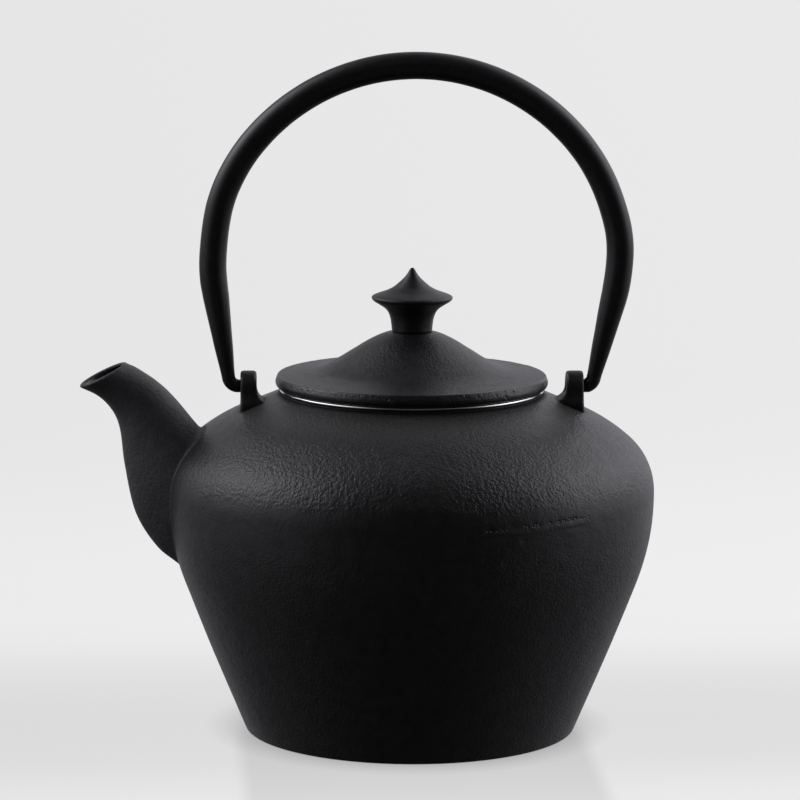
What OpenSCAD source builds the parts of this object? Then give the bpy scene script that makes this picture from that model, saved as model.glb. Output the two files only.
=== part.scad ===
// Cast iron teapot with a swinging bail handle, a lifting lid with a screwed-on
// knob, and a lift-out infuser basket.
// Frame: origin at the centre of the flat underside, +Z up, spout towards -X,
// bail pivots on a line along X. All lengths in millimetres, angles in degrees.

/* [Pot body] */
// Radius of the underside, where the lower wall would meet the table
base_r = 55.2; // [54.4:0.1:55.8]
// Rounding of the corner between underside and wall
base_round = 0.8; // [0.6:0.1:2.5]
// Lean of the lower wall, outwards from the vertical
flare = 22; // [21.2:0.1:22.4]
// Length of the straight part of the lower wall
flare_len = 53.7; // [52.5:0.1:54.3]
// Profile radius of the belly below its widest line
belly_r = 79.6; // [77:0.1:81.4]
// Profile radius of the shoulder
shoulder_r = 22; // [20.5:0.1:22.8]
// Angle through which the shoulder turns inwards
shoulder_a = 48.5; // [47.5:0.5:49.5]
// Profile radius of the dome above the shoulder
dome_r = 55; // [53:0.1:57]
// Angle at which the dome passes into the straight slope up to the mouth
dome_a = 67; // [66.5:0.1:67.5]
// Wall thickness of the casting
wall = 3.2; // [2.6:0.1:3.6]
// Thickness of the floor
floor_t = 4; // [3:0.1:5]
// Inside radius of the corner between floor and wall
floor_round = 8; // [5:0.5:10]

/* [Mouth] */
// Bore radius of the mouth
mouth_r = 40; // [39.6:0.1:40.4]
// Outside radius of the raised mouth collar
collar_r = 43.3; // [43:0.1:43.8]
// Height of the top of the collar
mouth_z = 114.6; // [114.4:0.1:114.6]
// Radius of the round opening through the wall into the spout
spout_hole_r = 9.5; // [7:0.5:10]
// Height of that opening's centre
spout_hole_z = 79; // [76:0.5:82]

/* [Spout] */
// Wall of the spout at its root
spout_wall_root = 3.0; // [2.6:0.1:3.4]
// Wall of the spout at its lip
spout_wall_tip = 1.7; // [1.4:0.1:2.2]
// How far the root is sunk into the wall of the body
spout_sink = 1.6; // [1:0.1:2]
// Number of lofted steps between two design sections
spout_steps = 3; // [2:1:5]
// Number of sides of each section
spout_sides = 32; // [24:4:40]

/* [Lugs] */
// Distance of each lug's middle plane from the axis of the pot
lug_x = 54.3; // [54:0.1:55]
// Thickness of a lug
lug_t = 5.0; // [4.6:0.1:5.4]
// Radius of the rounded head of a lug
lug_r = 5.05; // [4.8:0.05:5.4]
// Edge rounding of the lug head
lug_round = 1.1; // [0.6:0.1:1.4]
// Height of the bail pivot
pivot_z = 115.6; // [115.4:0.1:116]
// Radius of the hole that the bail end turns in
lug_bore_r = 2.19; // [2.15:0.01:2.19]

/* [Bail handle] */
// Radius of the bail's ends in the lugs
pin_r = 2.1; // [2.09:0.01:2.14]
// Radius of the round grip section
grip_r = 4.4; // [4:0.05:4.7]
// Half width of the arch, to its centre line
arch_w = 67.5; // [67:0.1:68]
// Height of the arch's centre line above its widest line
arch_h = 63.7; // [63.2:0.1:64.5]
// Height of the widest line of the arch
arch_z = 158.6; // [157:0.1:160]
// Profile radius of the arch's two sides
side_r = 60.3; // [59.5:0.1:61]
// Lean of the leg on the spout side, outwards from the vertical
lean_left = 8.9; // [8.2:0.1:12]
// Lean of the leg on the other side
lean_right = 13.1; // [11:0.1:15]
// Bend radius between leg and end, to the centre line
bend_r = 3.4; // [3.2:0.1:3.8]
// Set of the arch towards +X from the middle of the lugs
arch_set = 1.0; // [0:0.1:1.6]

/* [Lid] */
// Radius of the lid's edge
lid_r = 45.4; // [45:0.1:46]
// Height of the lid's underside, which rests on the infuser rim
lid_z = 115.22; // [115.22:0.01:115.3]
// Thickness of the lid's shell
lid_t = 3.0; // [2.6:0.1:3.4]
// Outside radius of the locating ring under the lid
spigot_r = 37.3; // [36.8:0.1:37.8]
// Depth of the locating ring below the lid's underside
spigot_h = 6; // [4:0.5:8]
// Height of the flat seat of the knob
knob_seat_z = 133.9; // [133.5:0.1:134.3]

/* [Knob] */
// Radius of the foot of the knob
knob_foot_r = 6.7; // [6.4:0.1:7]
// Radius of the knob's brim
knob_r = 13.5; // [13:0.1:14]
// Height of the top of the knob
knob_top_z = 155.3; // [155:0.1:156]

/* [Knob screw] */
// Radius of the screw's shank
screw_r = 2.0; // [1.9:0.05:2.05]
// Radius of the screw's head
screw_head_r = 3.8; // [3.5:0.1:4.2]
// Height of the screw's head
screw_head_h = 2.6; // [2.2:0.1:3]
// How far the shank reaches into the knob
screw_reach = 8; // [6:0.5:9]
// Radius of the washer
washer_r = 5.5; // [5:0.1:6]
// Thickness of the washer
washer_t = 0.8; // [0.6:0.1:1]

/* [Infuser] */
// Radius of the flange that lies on the mouth collar
flange_r = 44.07; // [43.8:0.01:44.3]
// Thickness of the flange
flange_t = 0.6; // [0.5:0.1:0.6]
// Outside radius of the infuser's wall
basket_r = 38.9; // [38.6:0.1:39.2]
// Thickness of the sheet
sheet_t = 0.5; // [0.4:0.1:0.6]
// Depth of the plain band below the flange
rim_band_h = 9; // [8:0.5:12]
// Height of the lower edge of the infuser's wall above the table
basket_z = 66; // [62:1:72]
// Radius of a perforation
perf_r = 1.6; // [1:0.1:1.8]
// Number of perforations round the wall
perf_n = 20; // [12:2:24]
// Number of rows of perforations
perf_rows = 4; // [2:1:5]

/* [Hidden] */
iron = [0.10, 0.10, 0.105];
paint = [0.07, 0.07, 0.075];
steel = [0.80, 0.80, 0.79];

// ---- helpers -------------------------------------------------------------
function polar(center, radius, angle) = center + radius * [cos(angle), sin(angle)];

// Points of an arc; first = 1 leaves out the starting point
function arc(center, radius, from, to, steps, first = 0) =
    [for (i = [first:steps]) polar(center, radius, from + (to - from) * i / steps)];

// Catmull-Rom curve from p1 (t = 0) to p2 (t = 1)
function catmull_rom(p0, p1, p2, p3, t) =
    0.5 * (2 * p1 + (p2 - p0) * t + (2 * p0 - 5 * p1 + 4 * p2 - p3) * t * t
           + (3 * p1 - p0 - 3 * p2 + p3) * t * t * t);

// Smooth curve through the values, t counted in intervals; the values may be
// numbers or whole rows of a table
function curve(values, t) =
    let (last = len(values) - 1,
         i = min(floor(t), last - 1),
         before = i > 0 ? values[i - 1] : 2 * values[0] - values[1],
         after = i + 2 <= last ? values[i + 2] : 2 * values[last] - values[last - 1])
    catmull_rom(before, values[i], values[i + 1], after, t - i);

// ---- pot body ------------------------------------------------------------
collar_fillet = 0.5;  // between the slope and the collar
fillet_drop = 0.7;    // from the top of the collar to the fillet's centre
mouth_edge = 0.3;     // rounding of both edges of the collar's top
min_belly_h = 0.2;
spout_hole_out = 8;   // start of the spout hole's cutter, outside the widest line
spout_hole_len = 24;

// Unit vector square to the lower wall, outwards
flare_normal = [cos(flare), -sin(flare)];
foot_p = [base_r, 0];
cone_p = foot_p + flare_len * [sin(flare), cos(flare)];
belly_c = cone_p - belly_r * flare_normal;
widest_r = belly_c[0] + belly_r;

// The vertical stretch at the widest line takes up the height that is left
// between the curves below and the collar's fillet
dome_end_x = widest_r - shoulder_r + shoulder_r * cos(shoulder_a)
             + dome_r * (cos(dome_a) - cos(shoulder_a));
fillet_x = collar_r + collar_fillet;
curves_top_z = belly_c[1] + shoulder_r * sin(shoulder_a)
               + dome_r * (sin(dome_a) - sin(shoulder_a))
               + (collar_fillet - (fillet_x - dome_end_x) * cos(dome_a)) / sin(dome_a);
belly_h = max(min_belly_h, mouth_z - fillet_drop - curves_top_z);

shoulder_c = [widest_r - shoulder_r, belly_c[1] + belly_h];
shoulder_p = polar(shoulder_c, shoulder_r, shoulder_a);
dome_c = polar(shoulder_p, -dome_r, shoulder_a);
fillet_c = [fillet_x, curves_top_z + belly_h];

// Radius of an arc of the profile at height z
function arc_r(center, radius, z) = center[0] + sqrt(pow(radius, 2) - pow(z - center[1], 2));

// Radius of the pot's outer surface at height z
function pot_r(z) =
    z < cone_p[1] ? base_r + z * tan(flare)
    : z < belly_c[1] ? arc_r(belly_c, belly_r, z)
    : z < shoulder_c[1] ? widest_r
    : z < shoulder_p[1] ? arc_r(shoulder_c, shoulder_r, z)
    : arc_r(dome_c, dome_r, z);

// Inside: the wall line is followed down to the floor, and up to the mouth
corner_cut = tan(45 - flare / 2);
foot_in = foot_p - wall * flare_normal;
floor_x = foot_in[0] + (floor_t - foot_in[1]) * tan(flare);
floor_c = [floor_x - floor_round * corner_cut, floor_t + floor_round];
dome_in = polar(dome_c, dome_r - wall, dome_a);

pot_profile = concat(
    [[0, 0]],
    arc([base_r - base_round * corner_cut, base_round], base_round, -90, -flare, 4),
    arc(belly_c, belly_r, -flare, 0, 9),
    arc(shoulder_c, shoulder_r, 0, shoulder_a, 10),
    arc(dome_c, dome_r, shoulder_a, dome_a, 7, first = 1),
    arc(fillet_c, collar_fillet, 180 + dome_a, 180, 3),
    arc([collar_r - mouth_edge, mouth_z - mouth_edge], mouth_edge, 0, 90, 3),
    arc([mouth_r + mouth_edge, mouth_z - mouth_edge], mouth_edge, 90, 180, 3),
    [[mouth_r, dome_in[1] + (dome_in[0] - mouth_r) * tan(90 - dome_a)]],
    arc(dome_c, dome_r - wall, dome_a, shoulder_a, 7),
    arc(shoulder_c, shoulder_r - wall, shoulder_a, 0, 8, first = 1),
    arc(belly_c, belly_r - wall, 0, -flare, 8),
    arc(floor_c, floor_round, -flare, -90, 6),
    [[0, floor_t]]);

module pot_body() {
    color(iron)
    difference() {
        rotate_extrude($fn = 180) polygon(pot_profile);
        translate([-(widest_r + spout_hole_out), 0, spout_hole_z])
            rotate([0, 90, 0])
                cylinder(r = spout_hole_r, h = spout_hole_len, $fn = 48);
    }
}

// ---- spout ---------------------------------------------------------------
// Design sections from root to lip. Columns: upper edge x, z; lower edge x, z;
// half width along Y; how much narrower the lower side is than the middle.
spout_sections = [
    [-70.1, 100.8,  -77.5,  55.2, 16.6, 0.34],
    [-72.9, 104.2,  -85.1,  61.6, 14.4, 0.34],
    [-77.2, 109.6,  -92.0,  72.9, 12.2, 0.32],
    [-81.2, 114.0,  -95.5,  88.7, 10.5, 0.26],
    [-85.2, 117.5,  -97.1, 101.1,  9.6, 0.17],
    [-88.8, 120.0,  -99.6, 107.5,  9.1, 0.09],
    [-91.9, 121.9, -104.2, 112.3,  9.0, 0.03],
    [-94.5, 123.0, -110.1, 115.3,  9.3, 0]];
spout_last = (len(spout_sections) - 1) * spout_steps;
// Sections that would lie inside the pot's wall are left out
spout_kept = concat([0], [for (k = [spout_steps + 1:spout_last]) k]);

// Point of a section: position counted in design sections, angle round the
// section, inset from the outer skin
function spout_pt(position, angle, inset) =
    let (row = curve(spout_sections, position),
         upper = [row[0], row[1]],
         lower = [row[2], row[3]],
         middle = (upper + lower) / 2,
         half_h = norm(upper - lower) / 2,
         up = (upper - lower) / (2 * half_h),
         rise = (half_h - inset) * sin(angle),
         y = (row[4] - inset) * cos(angle) * (1 + row[5] * sin(angle)))
    [middle[0] + up[0] * rise, y, middle[1] + up[1] * rise];

// The root ring lies inside the pot's wall, spout_sink below its surface
function root_pt(angle, inset) =
    let (p = spout_pt(0, angle, inset))
    [-sqrt(pow(pot_r(p[2]) - spout_sink, 2) - p[1] * p[1]), p[1], p[2]];

function spout_ring(k, inset) =
    [for (j = [0:spout_sides - 1])
        let (angle = 360 * j / spout_sides)
        k == 0 ? root_pt(angle, inset) : spout_pt(k / spout_steps, angle, inset)];

function spout_wall(k) =
    spout_wall_root + (spout_wall_tip - spout_wall_root) * k / spout_last;

// Two triangles that fill a four-sided face
function quad(a, b, c, d) = [[a, b, c], [a, c, d]];

// Tube between a list of outer rings and a matching list of inner rings
module loft_tube(outer, inner) {
    rings = len(outer);
    sides = len(outer[0]);
    inner_at = rings * sides;
    top = inner_at - sides;
    points = concat([for (ring = outer) each ring], [for (ring = inner) each ring]);
    skin = [for (k = [0:rings - 2], j = [0:sides - 1])
        let (a = k * sides + j,
             b = k * sides + (j + 1) % sides)
        each quad(a, b, b + sides, a + sides)];
    bore = [for (k = [0:rings - 2], j = [0:sides - 1])
        let (a = inner_at + k * sides + j,
             b = inner_at + k * sides + (j + 1) % sides)
        each quad(a, a + sides, b + sides, b)];
    ends = [for (a = [0:sides - 1])
        let (b = (a + 1) % sides)
        each concat(
            quad(a, inner_at + a, inner_at + b, b),
            quad(top + a, top + b, inner_at + top + b, inner_at + top + a))];
    polyhedron(points, concat(skin, bore, ends), convexity = 6);
}

module spout() {
    color(iron)
    loft_tube([for (k = spout_kept) spout_ring(k, 0)],
              [for (k = spout_kept) spout_ring(k, spout_wall(k))]);
}

// ---- lugs ----------------------------------------------------------------
lug_foot_z = 106.6;    // lower edge of the foot on its outer side
lug_foot_slope = 0.6;  // how much higher the inner side ends
corner_mid = 0.35;     // depth of the corner's middle point, in lug_round
corner_over = 0.1;     // overshoot of the corner cutters in X and Y
foot_over = 1;         // and below the foot

// Rounded head turned about the pivot line; drawn at the axis, outer side +X
module lug_head() {
    round_x = lug_r - lug_round;
    round_z = lug_t / 2 - lug_round;
    translate([0, 0, pivot_z])
        rotate([0, 90, 0])
            rotate_extrude($fn = 48) polygon(concat(
                [[0, -lug_t / 2]],
                arc([round_x, -round_z], lug_round, -90, 0, 4),
                arc([round_x, round_z], lug_round, 0, 90, 4),
                [[0, lug_t / 2]]));
}

// Foot let into the shoulder
module lug_foot() {
    rotate([90, 0, 0])
        linear_extrude(2 * lug_r, center = true)
            polygon([[-lug_t / 2, lug_foot_z + lug_foot_slope],
                     [lug_t / 2, lug_foot_z],
                     [lug_t / 2, pivot_z],
                     [-lug_t / 2, pivot_z]]);
}

// Cutter that rounds one upright corner of the foot, side_x and side_y +1 or -1
module lug_corner(side_x, side_y) {
    outline = [[corner_over, corner_over], [-lug_round, corner_over],
               [-lug_round, 0], [-corner_mid * lug_round, -corner_mid * lug_round],
               [0, -lug_round], [corner_over, -lug_round]];
    translate([side_x * lug_t / 2, side_y * lug_r, lug_foot_z - foot_over])
        linear_extrude(pivot_z - lug_foot_z + foot_over)
            polygon([for (p = outline) [p[0] * side_x, p[1] * side_y]]);
}

module lug() {
    difference() {
        union() {
            lug_head();
            lug_foot();
        }
        for (side_y = [-1, 1], side_x = [-1, 1])
            lug_corner(side_x, side_y);
        translate([-lug_t, 0, pivot_z])
            rotate([0, 90, 0])
                cylinder(r = lug_bore_r, h = 2 * lug_t, $fn = 48);
    }
}

module lug_left() {
    color(iron)
    translate([-lug_x, 0, 0]) mirror([1, 0, 0]) lug();
}

module lug_right() {
    color(iron)
    translate([lug_x, 0, 0]) lug();
}

// ---- bail handle ---------------------------------------------------------
// The arch is three tangent arcs; a tapered leg and a small bend lead from
// each side of it into the pivot line. Each thinner stretch starts a little
// way inside the thicker one.
side_rod_r = grip_r - 0.04;
leg_top_r = grip_r - 0.1;
leg_low_r = pin_r + 0.3;
bend_rod_r = pin_r + 0.15;
side_overlap = 0.5;  // degrees
bend_overlap = 8;    // degrees
leg_overlap = 0.8;
pin_overlap = 0.3;
pin_inset = 0.3;     // pin end, outwards from the lug's inner face

top_r = (pow(arch_w - side_r, 2) + arch_h * arch_h - side_r * side_r)
        / (2 * (arch_h - side_r));
join_a = atan2(top_r - arch_h, arch_w - side_r);
pin_in_x = lug_x - lug_t / 2 + pin_inset;

// A bent round rod in the XZ plane about (x, z)
module rod_arc(x, z, radius, rod_r, from, to) {
    translate([x, 0, z]) rotate([90, 0, 0]) rotate([0, 0, from])
        rotate_extrude(angle = to - from, $fn = 96)
            translate([radius, 0]) circle(r = rod_r, $fn = 48);
}

// One side below the join, drawn on the +X side; offset moves the arch in X
module bail_side(lean, offset_x) {
    side_x = arch_w - side_r + offset_x;
    leg_top = [side_x + side_r * cos(lean), arch_z - side_r * sin(lean)];
    leg_low_z = pivot_z + bend_r * (1 - sin(lean));
    leg_low = [leg_top[0] - (leg_top[1] - leg_low_z) * tan(lean), leg_low_z];
    bend_x = leg_low[0] - bend_r * cos(lean);

    rod_arc(side_x, arch_z, side_r, side_rod_r, -lean, join_a + side_overlap);
    translate([leg_low[0], 0, leg_low[1]])
        rotate([0, lean, 0])
            cylinder(r1 = leg_low_r, r2 = leg_top_r,
                     h = norm(leg_top - leg_low) + leg_overlap, $fn = 48);
    rod_arc(bend_x, pivot_z + bend_r, bend_r, bend_rod_r, -90, bend_overlap - lean);
    translate([pin_in_x, 0, pivot_z])
        rotate([0, 90, 0])
            cylinder(r = pin_r, h = bend_x - pin_in_x + pin_overlap, $fn = 48);
}

module bail_handle() {
    color(paint)
    union() {
        rod_arc(arch_set, arch_z + arch_h - top_r, top_r, grip_r,
                join_a, 180 - join_a);
        bail_side(lean_right, arch_set);
        rotate([0, 0, 180]) bail_side(lean_left, -arch_set);
    }
}

// ---- lid -----------------------------------------------------------------
brim_z = 119.5;         // upper surface at the brim's edge
brim_r = lid_r - 0.9;
lid_edge_round = 2.0;
lid_hole_r = 2.25;      // hole for the screw
under_flat_r = 7;       // the underside is flat within this radius
under_rise = 1.2;       // least height of the hollow above the lid's underside
spigot_t = 2.8;         // thickness of the locating ring at its lower edge
spigot_root_t = 3.2;    // and at its root
spigot_edge = 0.4;      // bevel of its edges
crown_steps = 14;
under_steps = 10;

// Upper surface as [radius, height]: rounded crown, hollow rise, flat brim
lid_knots = [[0, 134.2], [7.6, 133.8], [13, 131.7], [19, 128.1],
             [25.9, 123.9], [31, 121.4], [37, 120.25], [44.5, brim_z]];

// Height of the lid's upper surface at radius x
function lid_curve(x) =
    let (i = max([for (k = [0:len(lid_knots) - 2]) lid_knots[k][0] <= x + 0.001 ? k : 0]),
         u = (x - lid_knots[i][0]) / (lid_knots[i + 1][0] - lid_knots[i][0]))
    curve([for (knot = lid_knots) knot[1]], i + u);

lid_top = concat(
    [[lid_r - 1.6, lid_z]],
    arc([lid_r - lid_edge_round, lid_z + lid_edge_round], lid_edge_round, -45, 20, 4),
    [[lid_r - 0.5, brim_z - 0.6], [brim_r, brim_z]],
    [for (i = [1:crown_steps])
        let (x = brim_r + (knob_foot_r + 0.9 - brim_r) * i / crown_steps)
        [x, lid_curve(x)]],
    [[knob_foot_r + 0.7, knob_seat_z], [lid_hole_r, knob_seat_z]]);

// From the screw hole outwards to just short of the locating ring
lid_under = [for (i = [0:under_steps - 1])
    let (x = lid_hole_r + (spigot_r - spigot_root_t - lid_hole_r) * i / under_steps)
    [x, max(lid_z + under_rise, lid_curve(max(x, under_flat_r)) - lid_t)]];

spigot_z = lid_z - spigot_h;
lid_spigot = [
    [spigot_r - spigot_root_t, lid_z + under_rise],
    [spigot_r - spigot_t, spigot_z + spigot_edge],
    [spigot_r - spigot_t + spigot_edge, spigot_z],
    [spigot_r - spigot_edge, spigot_z],
    [spigot_r, spigot_z + spigot_edge],
    [spigot_r, lid_z - 0.6],
    [spigot_r + spigot_edge, lid_z]];

module lid() {
    color(iron)
    rotate_extrude($fn = 180) polygon(concat(lid_top, lid_under, lid_spigot));
}

// ---- knob ----------------------------------------------------------------
// Outline as [radius, height from the top of the knob]
knob_outline = [
    [0, 0], [0.75, -0.35], [1.25, -1.3], [1.87, -2.3], [2.68, -3.3],
    [3.67, -4.3], [4.8, -5.3], [6.3, -6.5], [8.6, -7.7], [11.2, -8.65],
    [knob_r - 0.5, -9.35], [knob_r, -9.95], [knob_r - 0.25, -10.5],
    [12.7, -11.2], [11.0, -12.2], [9.4, -13.2], [8.4, -14.2], [7.8, -15.2],
    [7.45, -16.2], [7.15, -17.3], [7.0, -18.3], [6.85, -19.3], [6.75, -20.3],
    [knob_foot_r, -20.8], [knob_foot_r, -21.36], [0, -21.36]];
knob_bore_over = 1;  // bore beyond the screw's end, and below the seat

module lid_knob() {
    color(paint)
    difference() {
        rotate_extrude($fn = 96)
            polygon([for (p = knob_outline) [p[0], knob_top_z + p[1]]]);
        translate([0, 0, knob_seat_z - knob_bore_over])
            cylinder(r = screw_r, h = screw_reach + 2 * knob_bore_over, $fn = 48);
    }
}

// ---- screw and washer under the lid --------------------------------------
under_z = lid_curve(under_flat_r) - lid_t;
washer_z = under_z - washer_t;
head_z = washer_z - screw_head_h;
head_round = 1.6;
washer_gap = 0.2;           // between shank and washer
shank_overlap = 0.01;       // of the shank into the head
recess = [4.2, 0.9, 1.5];   // one slot of the cross recess
recess_over = 0.1;

module knob_screw() {
    color(steel)
    difference() {
        union() {
            translate([0, 0, washer_z - shank_overlap])
                cylinder(r = screw_r, h = knob_seat_z + screw_reach - washer_z, $fn = 48);
            translate([0, 0, head_z])
                rotate_extrude($fn = 60) polygon(concat(
                    [[0, screw_head_h], [screw_head_r, screw_head_h]],
                    arc([screw_head_r - head_round, head_round], head_round, 0, -90, 5),
                    [[0, 0]]));
        }
        for (angle = [0, 90])
            rotate([0, 0, angle])
                translate([-recess[0] / 2, -recess[1] / 2, head_z - recess_over])
                    cube(recess);
    }
}

module knob_washer() {
    color(steel)
    translate([0, 0, washer_z])
        difference() {
            cylinder(r = washer_r, h = washer_t, $fn = 60);
            translate([0, 0, -1])
                cylinder(r = screw_r + washer_gap, h = 3, $fn = 48);
        }
}

// ---- infuser -------------------------------------------------------------
flange_z = mouth_z + 0.01;  // just clear of the collar
flange_top = flange_z + flange_t;
flange_edge = 0.2;          // bevel of the flange's edge
neck_bevel = 0.5;           // under the flange, where it meets the wall
band_z = flange_z - rim_band_h;
basket_gap = 0.02;          // between the wall and the pieces above and below
perf_margin = 3;            // plain strip above and below the rows
base_rings = 3;             // rings of perforations in the base
base_ring_pitch = 10.5;

module infuser_rim() {
    color(steel)
    rotate_extrude($fn = 180) polygon([
        [basket_r - sheet_t, band_z],
        [basket_r, band_z],
        [basket_r, flange_z - neck_bevel],
        [basket_r + neck_bevel, flange_z],
        [flange_r - flange_edge, flange_z],
        [flange_r, flange_z + flange_edge],
        [flange_r, flange_top - flange_edge],
        [flange_r - flange_edge, flange_top],
        [basket_r + 0.1, flange_top],
        [basket_r - sheet_t, flange_z - 0.3]]);
}

module infuser_basket() {
    height = band_z - basket_z;
    pitch = (height - 2 * perf_margin) / perf_rows;
    color(steel)
    difference() {
        translate([0, 0, basket_z + basket_gap])
            difference() {
                cylinder(r = basket_r, h = height - 2 * basket_gap, $fn = 180);
                translate([0, 0, -1])
                    cylinder(r = basket_r - sheet_t, h = height + 2, $fn = 180);
            }
        // every other row is turned by half a step
        for (k = [0:perf_rows - 1], j = [0:perf_n - 1])
            rotate([0, 0, 360 / perf_n * (j + (k % 2) / 2)])
                translate([basket_r - 3, 0, basket_z + perf_margin + pitch * (k + 0.5)])
                    rotate([0, 90, 0])
                        cylinder(r = perf_r, h = 5, $fn = 16);
    }
}

module infuser_base() {
    color(steel)
    translate([0, 0, basket_z - sheet_t])
        difference() {
            cylinder(r = basket_r, h = sheet_t, $fn = 180);
            for (ring = [1:base_rings], j = [0:6 * ring - 1])
                rotate([0, 0, 60 / ring * j])
                    translate([base_ring_pitch * ring, 0, -1])
                        cylinder(r = perf_r, h = 3, $fn = 16);
        }
}

pot_body();
spout();
lug_left();
lug_right();
bail_handle();
lid();
lid_knob();
knob_screw();
knob_washer();
infuser_rim();
infuser_basket();
infuser_base();
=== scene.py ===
"""A cast iron teapot with a bail handle, a knobbed lid and a steel infuser.

The pot stands on z = 0 with its axis on Z. The spout points to -X, the handle's two lugs
stand on the X axis and the camera looks from -Y. Shapes are in millimetres and are scaled
to metres as their meshes are made; materials work in metres. Angles are in degrees.
"""
import bpy
import bmesh
from contextlib import contextmanager
from functools import cached_property
from math import atan2, cos, degrees, hypot, log, pi, radians, sin, tan
import numpy as np
from mathutils import Vector, Matrix, noise, geometry


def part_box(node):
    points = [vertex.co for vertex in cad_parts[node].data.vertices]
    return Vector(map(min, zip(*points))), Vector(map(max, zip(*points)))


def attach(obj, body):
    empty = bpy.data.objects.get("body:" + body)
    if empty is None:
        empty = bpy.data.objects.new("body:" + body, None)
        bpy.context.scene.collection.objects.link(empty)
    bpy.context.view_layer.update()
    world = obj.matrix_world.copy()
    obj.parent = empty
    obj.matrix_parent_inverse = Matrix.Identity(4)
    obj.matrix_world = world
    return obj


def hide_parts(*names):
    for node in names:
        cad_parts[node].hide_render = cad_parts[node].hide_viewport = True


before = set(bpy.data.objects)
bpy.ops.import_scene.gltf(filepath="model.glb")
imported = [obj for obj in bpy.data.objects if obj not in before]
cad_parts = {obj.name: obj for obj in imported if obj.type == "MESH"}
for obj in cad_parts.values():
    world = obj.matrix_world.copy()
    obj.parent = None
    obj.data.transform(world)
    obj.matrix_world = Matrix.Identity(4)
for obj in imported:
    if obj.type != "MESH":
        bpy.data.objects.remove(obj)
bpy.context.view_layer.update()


MM = 0.001
SCENE = bpy.context.scene

# ---------------------------------------------------------------------------
# curves
# ---------------------------------------------------------------------------


def sind(angle):
    return sin(radians(angle))


def cosd(angle):
    return cos(radians(angle))


def tand(angle):
    return tan(radians(angle))


def polar(centre, radius, angle):
    return np.array([centre[0] + radius * cosd(angle), centre[1] + radius * sind(angle)])


def arc(centre, radius, start, end, steps):
    return [tuple(polar(centre, radius, start + (end - start) * i / steps))
            for i in range(steps + 1)]


def catmull(points, t):
    """Catmull-Rom curve through the points; t counts in points and may be an array."""
    points = np.asarray(points, float)
    t = np.asarray(t, float)
    i = np.clip(np.floor(t).astype(int), 0, len(points) - 2)
    u = t - i
    padded = np.concatenate([[2 * points[0] - points[1]], points,
                             [2 * points[-1] - points[-2]]])
    before, start, end, after = (padded[i + k] for k in range(4))
    if points.ndim > 1:
        u = u[..., None]
    return 0.5 * (2 * start + (end - before) * u
                  + (2 * before - 5 * start + 4 * end - after) * u ** 2
                  + (3 * start - before - 3 * end + after) * u ** 3)


def resample(points, spacing):
    """Walks a polyline of (radius, z) at about a spacing, a number or a function of both."""
    points = [np.array(point, float) for point in points]
    walked = [points[0]]
    for start, end in zip(points[:-1], points[1:]):
        length = np.linalg.norm(end - start)
        if length < 1e-9:
            continue
        step = spacing(*((start + end) / 2)) if callable(spacing) else spacing
        count = max(1, int(round(length / step)))
        for k in range(1, count + 1):
            walked.append(start + (end - start) * k / count)
    return np.array(walked)


def fbm(point, scale, seed):
    """Two octaves of noise at a point."""
    x, y, z = point
    total = 0.0
    for weight, pitch in ((1.0, scale), (0.5, scale * 2.03)):
        total += weight * noise.noise(Vector((x * pitch + seed, y * pitch - seed,
                                              z * pitch + 2 * seed)))
    return total


def smoothstep(low, high, value):
    t = np.clip((value - low) / (high - low), 0, 1)
    return t * t * (3 - 2 * t)


# ---------------------------------------------------------------------------
# meshes
# ---------------------------------------------------------------------------


def make_object(name, verts, faces, mats=(), face_mats=None, smooth=True):
    mesh = bpy.data.meshes.new(name)
    mesh.from_pydata([tuple(v) for v in np.asarray(verts, float) * MM], [], faces)
    mesh.validate()
    for material in mats:
        mesh.materials.append(material)
    # validate may drop a bad face, and then the list no longer matches
    if face_mats is not None and len(face_mats) == len(mesh.polygons):
        mesh.polygons.foreach_set("material_index", np.asarray(face_mats, np.int32))
    mesh.polygons.foreach_set("use_smooth", [smooth] * len(mesh.polygons))
    mesh.update()
    obj = bpy.data.objects.new(name, mesh)
    SCENE.collection.objects.link(obj)
    return obj


@contextmanager
def edited(obj):
    """Opens an object's mesh as a bmesh and writes it back."""
    mesh = bmesh.new()
    mesh.from_mesh(obj.data)
    yield mesh
    mesh.to_mesh(obj.data)
    mesh.free()
    obj.data.update()


def fix_normals(obj):
    with edited(obj) as mesh:
        bmesh.ops.recalc_face_normals(mesh, faces=mesh.faces[:])


def sharp_edges(obj, angle):
    """Marks the edges that bend by the angle or more as sharp."""
    limit = radians(angle)
    with edited(obj) as mesh:
        for edge in mesh.edges:
            if len(edge.link_faces) == 2:
                edge.smooth = edge.calc_face_angle(0.0) < limit


def apply_modifiers(obj):
    bpy.context.view_layer.update()
    graph = bpy.context.evaluated_depsgraph_get()
    mesh = bpy.data.meshes.new_from_object(obj.evaluated_get(graph))
    old = obj.data
    obj.modifiers.clear()
    obj.data = mesh
    bpy.data.meshes.remove(old)


def set_material(obj, material):
    """Gives the whole object one material."""
    obj.data.materials.clear()
    obj.data.materials.append(material)
    obj.data.polygons.foreach_set("material_index", [0] * len(obj.data.polygons))


def add_ring(verts, radius, z, count):
    """Adds a level ring of points and returns their indices."""
    start = len(verts)
    for j in range(count):
        angle = 2 * pi * j / count
        verts.append((radius * cos(angle), radius * sin(angle), z))
    return list(range(start, len(verts)))


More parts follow.
